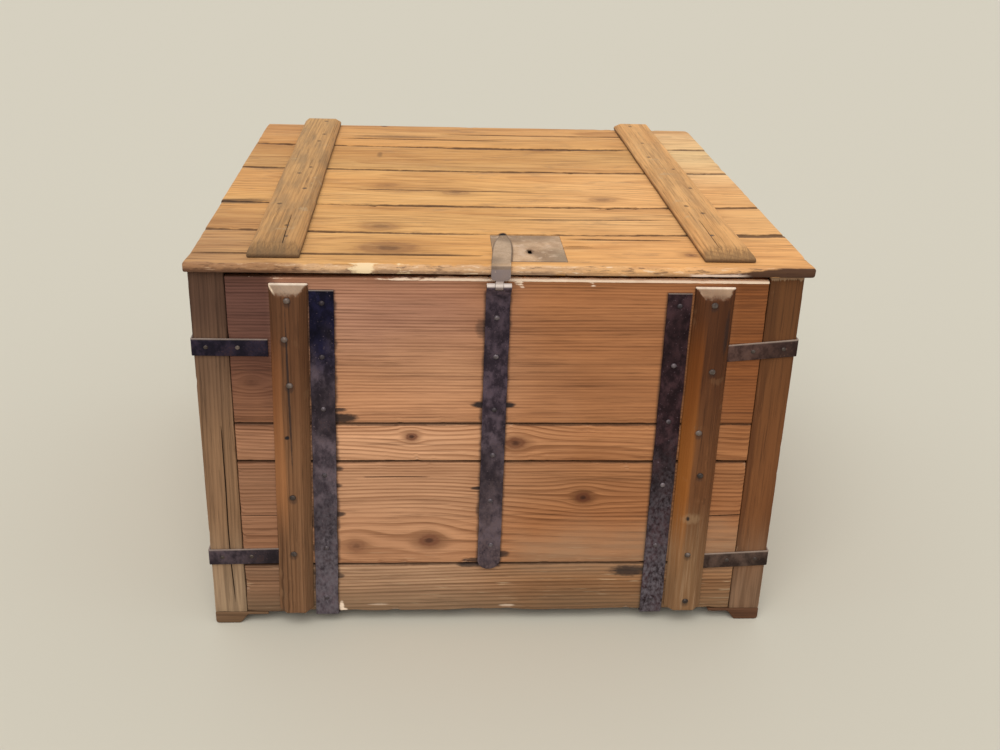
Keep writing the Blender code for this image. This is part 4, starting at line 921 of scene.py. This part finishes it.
def open_recess(mesh):
    """The plate's shallow seat, and the mortise through the plank for the lock's case."""
    corners = ((PLATE_LOW, -CLEARANCE), (PLATE_HIGH, CLEARANCE), (CASE_LOW, -CLEARANCE), (CASE_HIGH, CLEARANCE))
    for axis in (0, 1):
        saw(mesh, axis, [corner[axis] + side for corner, side in corners])

    def inside(face, low, high):
        middle = face.calc_center_median()
        return all(low[axis] - CLEARANCE < middle[axis] < high[axis] + CLEARANCE for axis in (0, 1))

    seat = [f for f in mesh.faces if f.normal.z > 0.9 and inside(f, PLATE_LOW, PLATE_HIGH)]
    moved = bmesh.ops.extrude_face_region(mesh, geom=seat)
    seat_verts = [item for item in moved["geom"] if isinstance(item, bmesh.types.BMVert)]
    bmesh.ops.delete(mesh, geom=seat, context="FACES")
    bmesh.ops.translate(mesh, vec=(0, 0, PLATE_LOW.z - PLATE_HIGH.z - CLEARANCE), verts=seat_verts)
    mesh.normal_update()
    opened = [f for f in mesh.faces if abs(f.normal.z) > 0.9 and inside(f, CASE_LOW, CASE_HIGH)]
    rims = [e for e in mesh.edges if sum(f in opened for f in e.link_faces) == 1]
    bmesh.ops.delete(mesh, geom=opened, context="FACES")
    bmesh.ops.bridge_loops(mesh, edges=[e for e in rims if e.is_valid])


for number, look in LID_LOOKS.items():
    node = f"lid_plank_{number}"
    low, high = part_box(node)
    low.y += LID_SEAM if number > 1 else 0.0
    high.y -= LID_SEAM if number < 5 else 0.0
    lid_mesh = plank(low, high, (240 if number == 1 else 150, round((high.y - low.y) / 0.020), 1), LID_ARRIS)
    bow_front, bow_back = LID_BOWS[number - 1:number + 1]
    still = PLATE_HIGH.y + CLEARANCE + 0.0002 if number == 1 else low.y
    splits = []
    for place, start, end, depth, half in LID_CRACKS[number]:
        crack(lid_mesh, 0, 1, 2, -1, place, start, end, depth, half, number * 10 + place)
        share = max(0.0, (place - still) / (high.y - still))
        splits.append((place, bow_front + (bow_back - bow_front) * share, start, end, half))
    if number == 1:
        saw(lid_mesh, 1, [low.y + step for step in (0.0055, 0.0075, 0.0100)])
        open_recess(lid_mesh)
    bare = weather(lid_mesh, low, high, 0.0012, 80 + number, LID_ARRIS)
    shift_left, shift_right = LID_SHIFTS[number]
    gap_start, gap_end, gap = LID_GAPS.get(number, (0, 1, 0))
    for vert in lid_mesh.verts:
        x, y = vert.co.x, vert.co.y
        share = max(0.0, (y - still) / (high.y - still))
        bow = (bow_front + (bow_back - bow_front) * share) * (1 - (x / LID_HALF) ** 2)
        vert.co.y -= bow * (share > 0 or number > 1)
        if y > high.y - 0.0035:
            opened = max(0.0, (x - gap_start) * (gap_end - x)) * 4 / (gap_end - gap_start) ** 2
            vert.co.y -= gap * opened ** 0.5 * (0.7 + 0.5 * ripple(x * 23, number, 0))
        front = y - low.y
        near = max(0.0, 1 - front / 0.05) if number == 1 else 0.0
        vert.co.x += abs(x / LID_HALF) ** 6 * (shift_left - 0.004 * near if x < 0 else shift_right + 0.002 * near)
        vert[bare] *= 0.2
        if number == 1 and front < WORN_EDGE:
            chip = sum(depth * math.exp(-((x - middle) / half) ** 2) for middle, half, depth in EDGE_CHIPS)
            chip *= 0.75 + 0.6 * ripple(x * 70, 0.3, 1.0)
            wave = max(0.0, 0.3 + ripple(x * 12, 2.3, 1.0)) * (1 if x < 0.33 else 0.25)
            splinter = max(0.0, ripple(x * 60, y * 60, 5.0)) * (1 if x < 0.36 else 0.2)
            bite = (1 - front / WORN_EDGE) * (0.15 + 0.4 * wave + chip + 0.6 * splinter)
            top = max(0.0, (vert.co.z - low.z) / (high.z - low.z))
            vert.co.z -= 0.0050 * bite * top
            vert.co.y += 0.0035 * bite * top
            vert[bare] = max(vert[bare], min(1.0, 1.1 * chip))
        if number == 5:
            radius = 0.022 if x < 0 else 0.014
            corner = Vector((math.copysign(high.x - radius, x), LID_BACK - radius))
            off = Vector((vert.co.x - corner.x, vert.co.y - corner.y))
            if off.x * x > 0 and off.y > 0 and off.length > radius:
                off *= radius / off.length
                vert.co.x, vert.co.y = corner.x + off.x, corner.y + off.y
    seams = [(low.y, bow_front, 1, 0, 1, 0)] if number > 1 else []
    if number < 5:
        seams.append((high.y, bow_back, -1, gap_start, gap_end, gap))
    early, late = (shade(tone, LID_TONES[number]) for tone in ((0.76, 0.425, 0.156), (0.43, 0.192, 0.060)))
    pine = wood(f"lid_pine_{number}", early, late, 0, 1, seed=number * 3.3 + 100, patina_and_light=lid_wear_and_light(seams, splits),
                bare=(0.82, 0.64, 0.40), bare_share=0.9 if number == 1 else 0.0, contrast=0.55, blotch=0.45, fine=150,
                **look)
    settle(lid_mesh, f"{node}_worn", pine, "lid", "lid_pine", node)

# Lid battens: two broad battens nailed across the lid from front to back, chamfered along their edges.
# They are of a greyer wood, cracked along the grain, and their front ends are worn thin and dark.
LID_BATTEN_TONES = {"left": ((0.58, 0.340, 0.142), (0.34, 0.185, 0.076)),
                    "right": ((0.74, 0.425, 0.175), (0.40, 0.200, 0.076))}
LID_BATTEN_SKEWS = {"left": 0.007, "right": 0.005}
LID_BATTEN_CRACKS = {"left": 0.012, "right": -0.015}
LID_NAILS = {"left": [(0.012, 0.500), (0.018, 0.354), (0.012, 0.280), (0.015, 0.034), (-0.004, -0.018), (0.018, -0.137),
                      (-0.018, -0.250), (0.010, -0.390), (0.016, -0.455)],
             "right": [(-0.012, 0.500), (-0.012, 0.315), (-0.022, 0.174), (0.012, 0.065), (0.016, -0.094),
                       (-0.020, -0.230), (0.002, -0.278), (-0.012, -0.420)]}


def lid_batten_dirt_and_shade(place, axes, colour):
    """Grey-olive streaks, dirt and painted shade along the foot of the edges, and a dark front end."""
    x, y, z = axes
    cloud, streaks = place.scatter(40, 7, 10), place.scatter(260, 8, 60, 5.0, 0.7)
    to_left = x.rise(0.1, -0.1)
    return colour.coated(
        ((0.24, 0.160, 0.086), cloud.rise(0.40, 0.70) * (0.28 + 0.22 * to_left)),
        ((0.085, 0.050, 0.026), streaks.rise(0.54, 0.68) * (0.28 + 0.12 * to_left)),
        # Darker along the foot of the sides: dirt and painted shade.
        ((0.050, 0.030, 0.016), (z - LID_TOP).rise(0.010, 0.002, streaks, 0.006) * 0.8),
        ((0.095, 0.060, 0.034), y.rise(-0.470, -0.515, streaks, 0.10) * 0.65))


for number, side in enumerate(("left", "right")):
    node = f"lid_batten_{side}"
    low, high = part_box(node)
    middle = (low.x + high.x) / 2
    skew = LID_BATTEN_SKEWS[side]
    batten_mesh = stock(node)
    ease(batten_mesh, 0.0018)
    saw(batten_mesh, 1, [low.y + 0.012 + 0.012 * step for step in range(88)])
    crack(batten_mesh, 1, 0, 2, -1, middle + LID_BATTEN_CRACKS[side], -0.52, -0.32, 0.003, 0.0010, 4 + number)
    bare = batten_mesh.verts.layers.float.new("bare")
    for vert in batten_mesh.verts:
        if vert.co.z > low.z + 0.002:
            rub = noise.noise(vert.co * 13 + Vector((0, number * 7, 0)))
            chip = max(0.0, noise.noise(vert.co * 60 + Vector((0, number * 5, 2))) - 0.3)
            vert.co.z -= 0.0009 * (0.5 + 0.5 * rub) + 0.003 * chip
            vert[bare] = min(1.0, 2.0 * chip)
        vert.co.x += 0.0016 * ripple(vert.co.y * 7, number * 3.0, 1 if vert.co.x > middle else 4)
        vert.co.x += skew * (high.y - vert.co.y) / (high.y - low.y)
    spots = [(middle + shift + skew * (high.y - y) / (high.y - low.y), y) for shift, y in LID_NAILS[side]]
    batten_wood = wood(f"lid_batten_wood_{side}", *LID_BATTEN_TONES[side], 1, 0, 0.0045, (0.25, -0.3), 90 + number,
                       lean=(0.02, 0), patina_and_light=lid_batten_dirt_and_shade, stains=[(y, x, 0.007, 0.005, 0.6) for x, y in spots],
                       bare=(0.50, 0.36, 0.21), bare_share=0.4, contrast=0.55)
    settle(batten_mesh, f"{node}_worn", batten_wood, "lid", "batten_wood", node)
    nails(f"{node}_nails", nail_iron, "lid", "pin_iron",
          [((x, y, high.z - 0.0016), (0, 0, 1), 0.0036, y, 0.35) for x, y in spots])

# Lid lock: a steel plate let flush into the front plank, over an iron case with its bolt and spring.
# The plate has lost its polish and gone grey-tan; its keyhole and the staple's slot are open.
PIN_X = (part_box("hasp_pin")[0].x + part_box("hasp_pin")[1].x) / 2
HASP_ROOT, HASP_TIP = PIN_X + 0.0026, 0.0113
HASP_HALF = 0.0168
HASP_END = -0.3875
HASP_SPRING = 0.36
HASP_ARCH = 2.4
KEYHOLE = (0.053, -0.4645)


def blade_gap(place, x, y):
    """How far outside the hasp's blade a place is: straight sides that spring into a long round arch."""
    share = (y - LID_FRONT) / (HASP_END - LID_FRONT)
    arch = place.sum("MINIMUM", place.sum("MAXIMUM", (share - HASP_SPRING) / (1 - HASP_SPRING), 0.0), 1.0)
    half = HASP_HALF * place.sum("POWER", 1 - place.sum("POWER", arch, HASP_ARCH), 1 / HASP_ARCH)
    return abs(x - HASP_ROOT - (HASP_TIP - HASP_ROOT) * share) - half


def plate_dust_and_shadow(place, axes, colour):
    """Brown smudges to the right, rust round the keyhole, a dark line along the front, a dark line along the hasp's
    blade that is partly dirt and partly painted shadow, and a painted shadow beyond the blade's tip.
    """
    x, y, z = axes
    cloud = place.scatter(40, 40, 40, 4.0)

    def distance(across, along, squeeze):
        return place.sum("SQRT", across * across + along * along * squeeze)

    smudge = x.rise(PLATE_HIGH.x - 0.030, PLATE_HIGH.x - 0.008) * y.rise(PLATE_HIGH.y - 0.03, PLATE_LOW.y + 0.03)
    from_hole = distance(x - KEYHOLE[0], y - KEYHOLE[1], 0.25)
    from_tip = distance(x - HASP_TIP, y - HASP_END - 0.010, 0.3)
    return colour.coated(
        ((0.70, 0.52, 0.38), cloud.rise(0.52, 0.68) * 0.5),
        ((0.30, 0.225, 0.150), smudge * (0.2 + 0.6 * cloud)),
        ((0.12, 0.075, 0.05), y.rise(PLATE_LOW.y + 0.005, PLATE_LOW.y + 0.001, cloud, 0.004) * 0.8),
        ((0.13, 0.070, 0.040), from_hole.rise(0.0095, 0.0050, cloud, 0.006) * 0.7),
        # Along the blade's sides: dirt and painted shadow.
        ((0.100, 0.062, 0.038), blade_gap(place, x, y).rise(0.0040, 0.0005) * (0.45 + 0.6 * cloud)),
        # Beyond the tip: painted shadow.
        ((0.035, 0.020, 0.012), from_tip.rise(0.0085, 0.0045) * 0.9))


plate_steel = iron("plate_steel", (0.47, 0.298, 0.178), (0.63, 0.43, 0.27), 37, rust=0.2, dust_and_light=plate_dust_and_shadow, rough=0.6,
                   metal=0.1)
plate_mesh = stock("lock_plate")
ease(plate_mesh, 0.0006)
settle(plate_mesh, "lock_plate_worn", plate_steel, "lid", "hasp_steel", "lock_plate")
case_iron = iron("case_iron", (0.020, 0.016, 0.017), (0.060, 0.048, 0.046), 41, rust=0.4)
bolt_steel = iron("bolt_steel", (0.10, 0.085, 0.075), (0.24, 0.20, 0.17), 43, rust=0.3, rough=0.4, metal=0.8)
dress(case_iron, "lock_case", "bolt_keeper", "lock_spring")
dress(bolt_steel, "lock_bolt")
nails("lock_plate_rivets", plate_steel, "lid", "hasp_steel",
      [((PLATE_LOW.x + x, PLATE_LOW.y + y, PLATE_HIGH.z - 0.0006), (0, 0, 1), 0.0045, x, 0.3)
       for x, y in ((0.101, 0.104), (0.112, 0.014), (0.050, 0.138))])

# Hasp: a forged blade hinged on the middle strap, turned over the lid's edge, with a staple beneath.
# Its blade is worn to a dull grey-tan, its leg is purple-grey, partly painted shade, and its end is rounded.


def hasp_wear_and_light(place, axes, colour):
    """Purple-grey down the leg, partly its own colour and partly painted shade, dark along the blade's edges and at the
    bend, which is painted shade, and bright on the knuckle, which is painted highlight.
    """
    x, y, z = axes
    cloud = place.scatter(60, 60, 60, 4.0)
    behind, level, above_pin = y - LID_FRONT, z - LID_TOP, z - PIN_Z
    blade = behind.rise(0.002, 0.006)
    rim = blade_gap(place, x, y).rise(-0.0022, -0.0004, cloud, 0.002)
    leg = behind.rise(0.003, -0.001) * level.rise(-0.003, -0.007, cloud, 0.003)
    bend = level.rise(-0.007, -0.004) * level.rise(0.002, -0.001)
    knuckle = above_pin.rise(0.010, 0.005) * above_pin.rise(-0.001, 0.003)
    return colour.coated(
        # Painted shade on the blade's edges, the leg and the bend; a painted highlight on the knuckle.
        ((0.150, 0.100, 0.066), blade * rim * 0.75), ((0.215, 0.170, 0.172), leg * (0.75 + 0.3 * cloud)),
        ((0.105, 0.080, 0.078), bend * (1 - blade) * 0.6), ((0.66, 0.57, 0.51), knuckle * 0.8))


hasp_steel = iron("hasp_steel", (0.42, 0.285, 0.180), (0.55, 0.39, 0.26), 47, rust=0.2, dust_and_light=hasp_wear_and_light)
hasp_mesh = stock("hasp")
shoulders = [e for e in hasp_mesh.edges if e.is_manifold and e.is_convex and e.calc_face_angle() > math.radians(60)
             and all(PIN_Z + 0.008 < v.co.z < PIN_Z + 0.012 and abs(v.co.x - PIN_X) > 0.014 for v in e.verts)
             and abs((e.verts[0].co - e.verts[1].co).y) > 0.9 * e.calc_length()]
round_off(hasp_mesh, shoulders, 0.0065, 4)
saw(hasp_mesh, 1, [LID_FRONT + 0.012 + 0.006 * step for step in range(25)])
tip_y = max(vert.co.y for vert in hasp_mesh.verts)
tip_xs = [vert.co.x for vert in hasp_mesh.verts if vert.co.y > tip_y - 0.0125 and vert.co.z > LID_TOP]
cad_tip = (min(tip_xs) + max(tip_xs)) / 2
for vert in hasp_mesh.verts:
    share = min(1.0, max(0.0, (vert.co.y - LID_FRONT) / (tip_y - LID_FRONT)))
    side = vert.co.x - PIN_X - (cad_tip - PIN_X) * share
    reach = max(0.0, (share - HASP_SPRING) / (1 - HASP_SPRING))
    if vert.co.z > LID_TOP - 0.001 and share > 0.05:
        half = HASP_HALF * (1 - reach ** HASP_ARCH) ** (1 / HASP_ARCH)
        side = math.copysign(half, side) if abs(side) > 0.004 else side
        vert.co.y = LID_FRONT + (HASP_END - LID_FRONT) * share
    lifted = min(1.0, max(0.0, (vert.co.z - PIN_Z - 0.005) / 0.008))
    vert.co.x = side + PIN_X + lifted * (HASP_ROOT - PIN_X) + (HASP_TIP - HASP_ROOT) * share
ease(hasp_mesh, 0.0007)
settle(hasp_mesh, "hasp_forged", hasp_steel, "hasp", "hasp_steel", "hasp")
dress(bolt_steel, "hasp_staple")
dress(pin_iron, "hasp_pin")
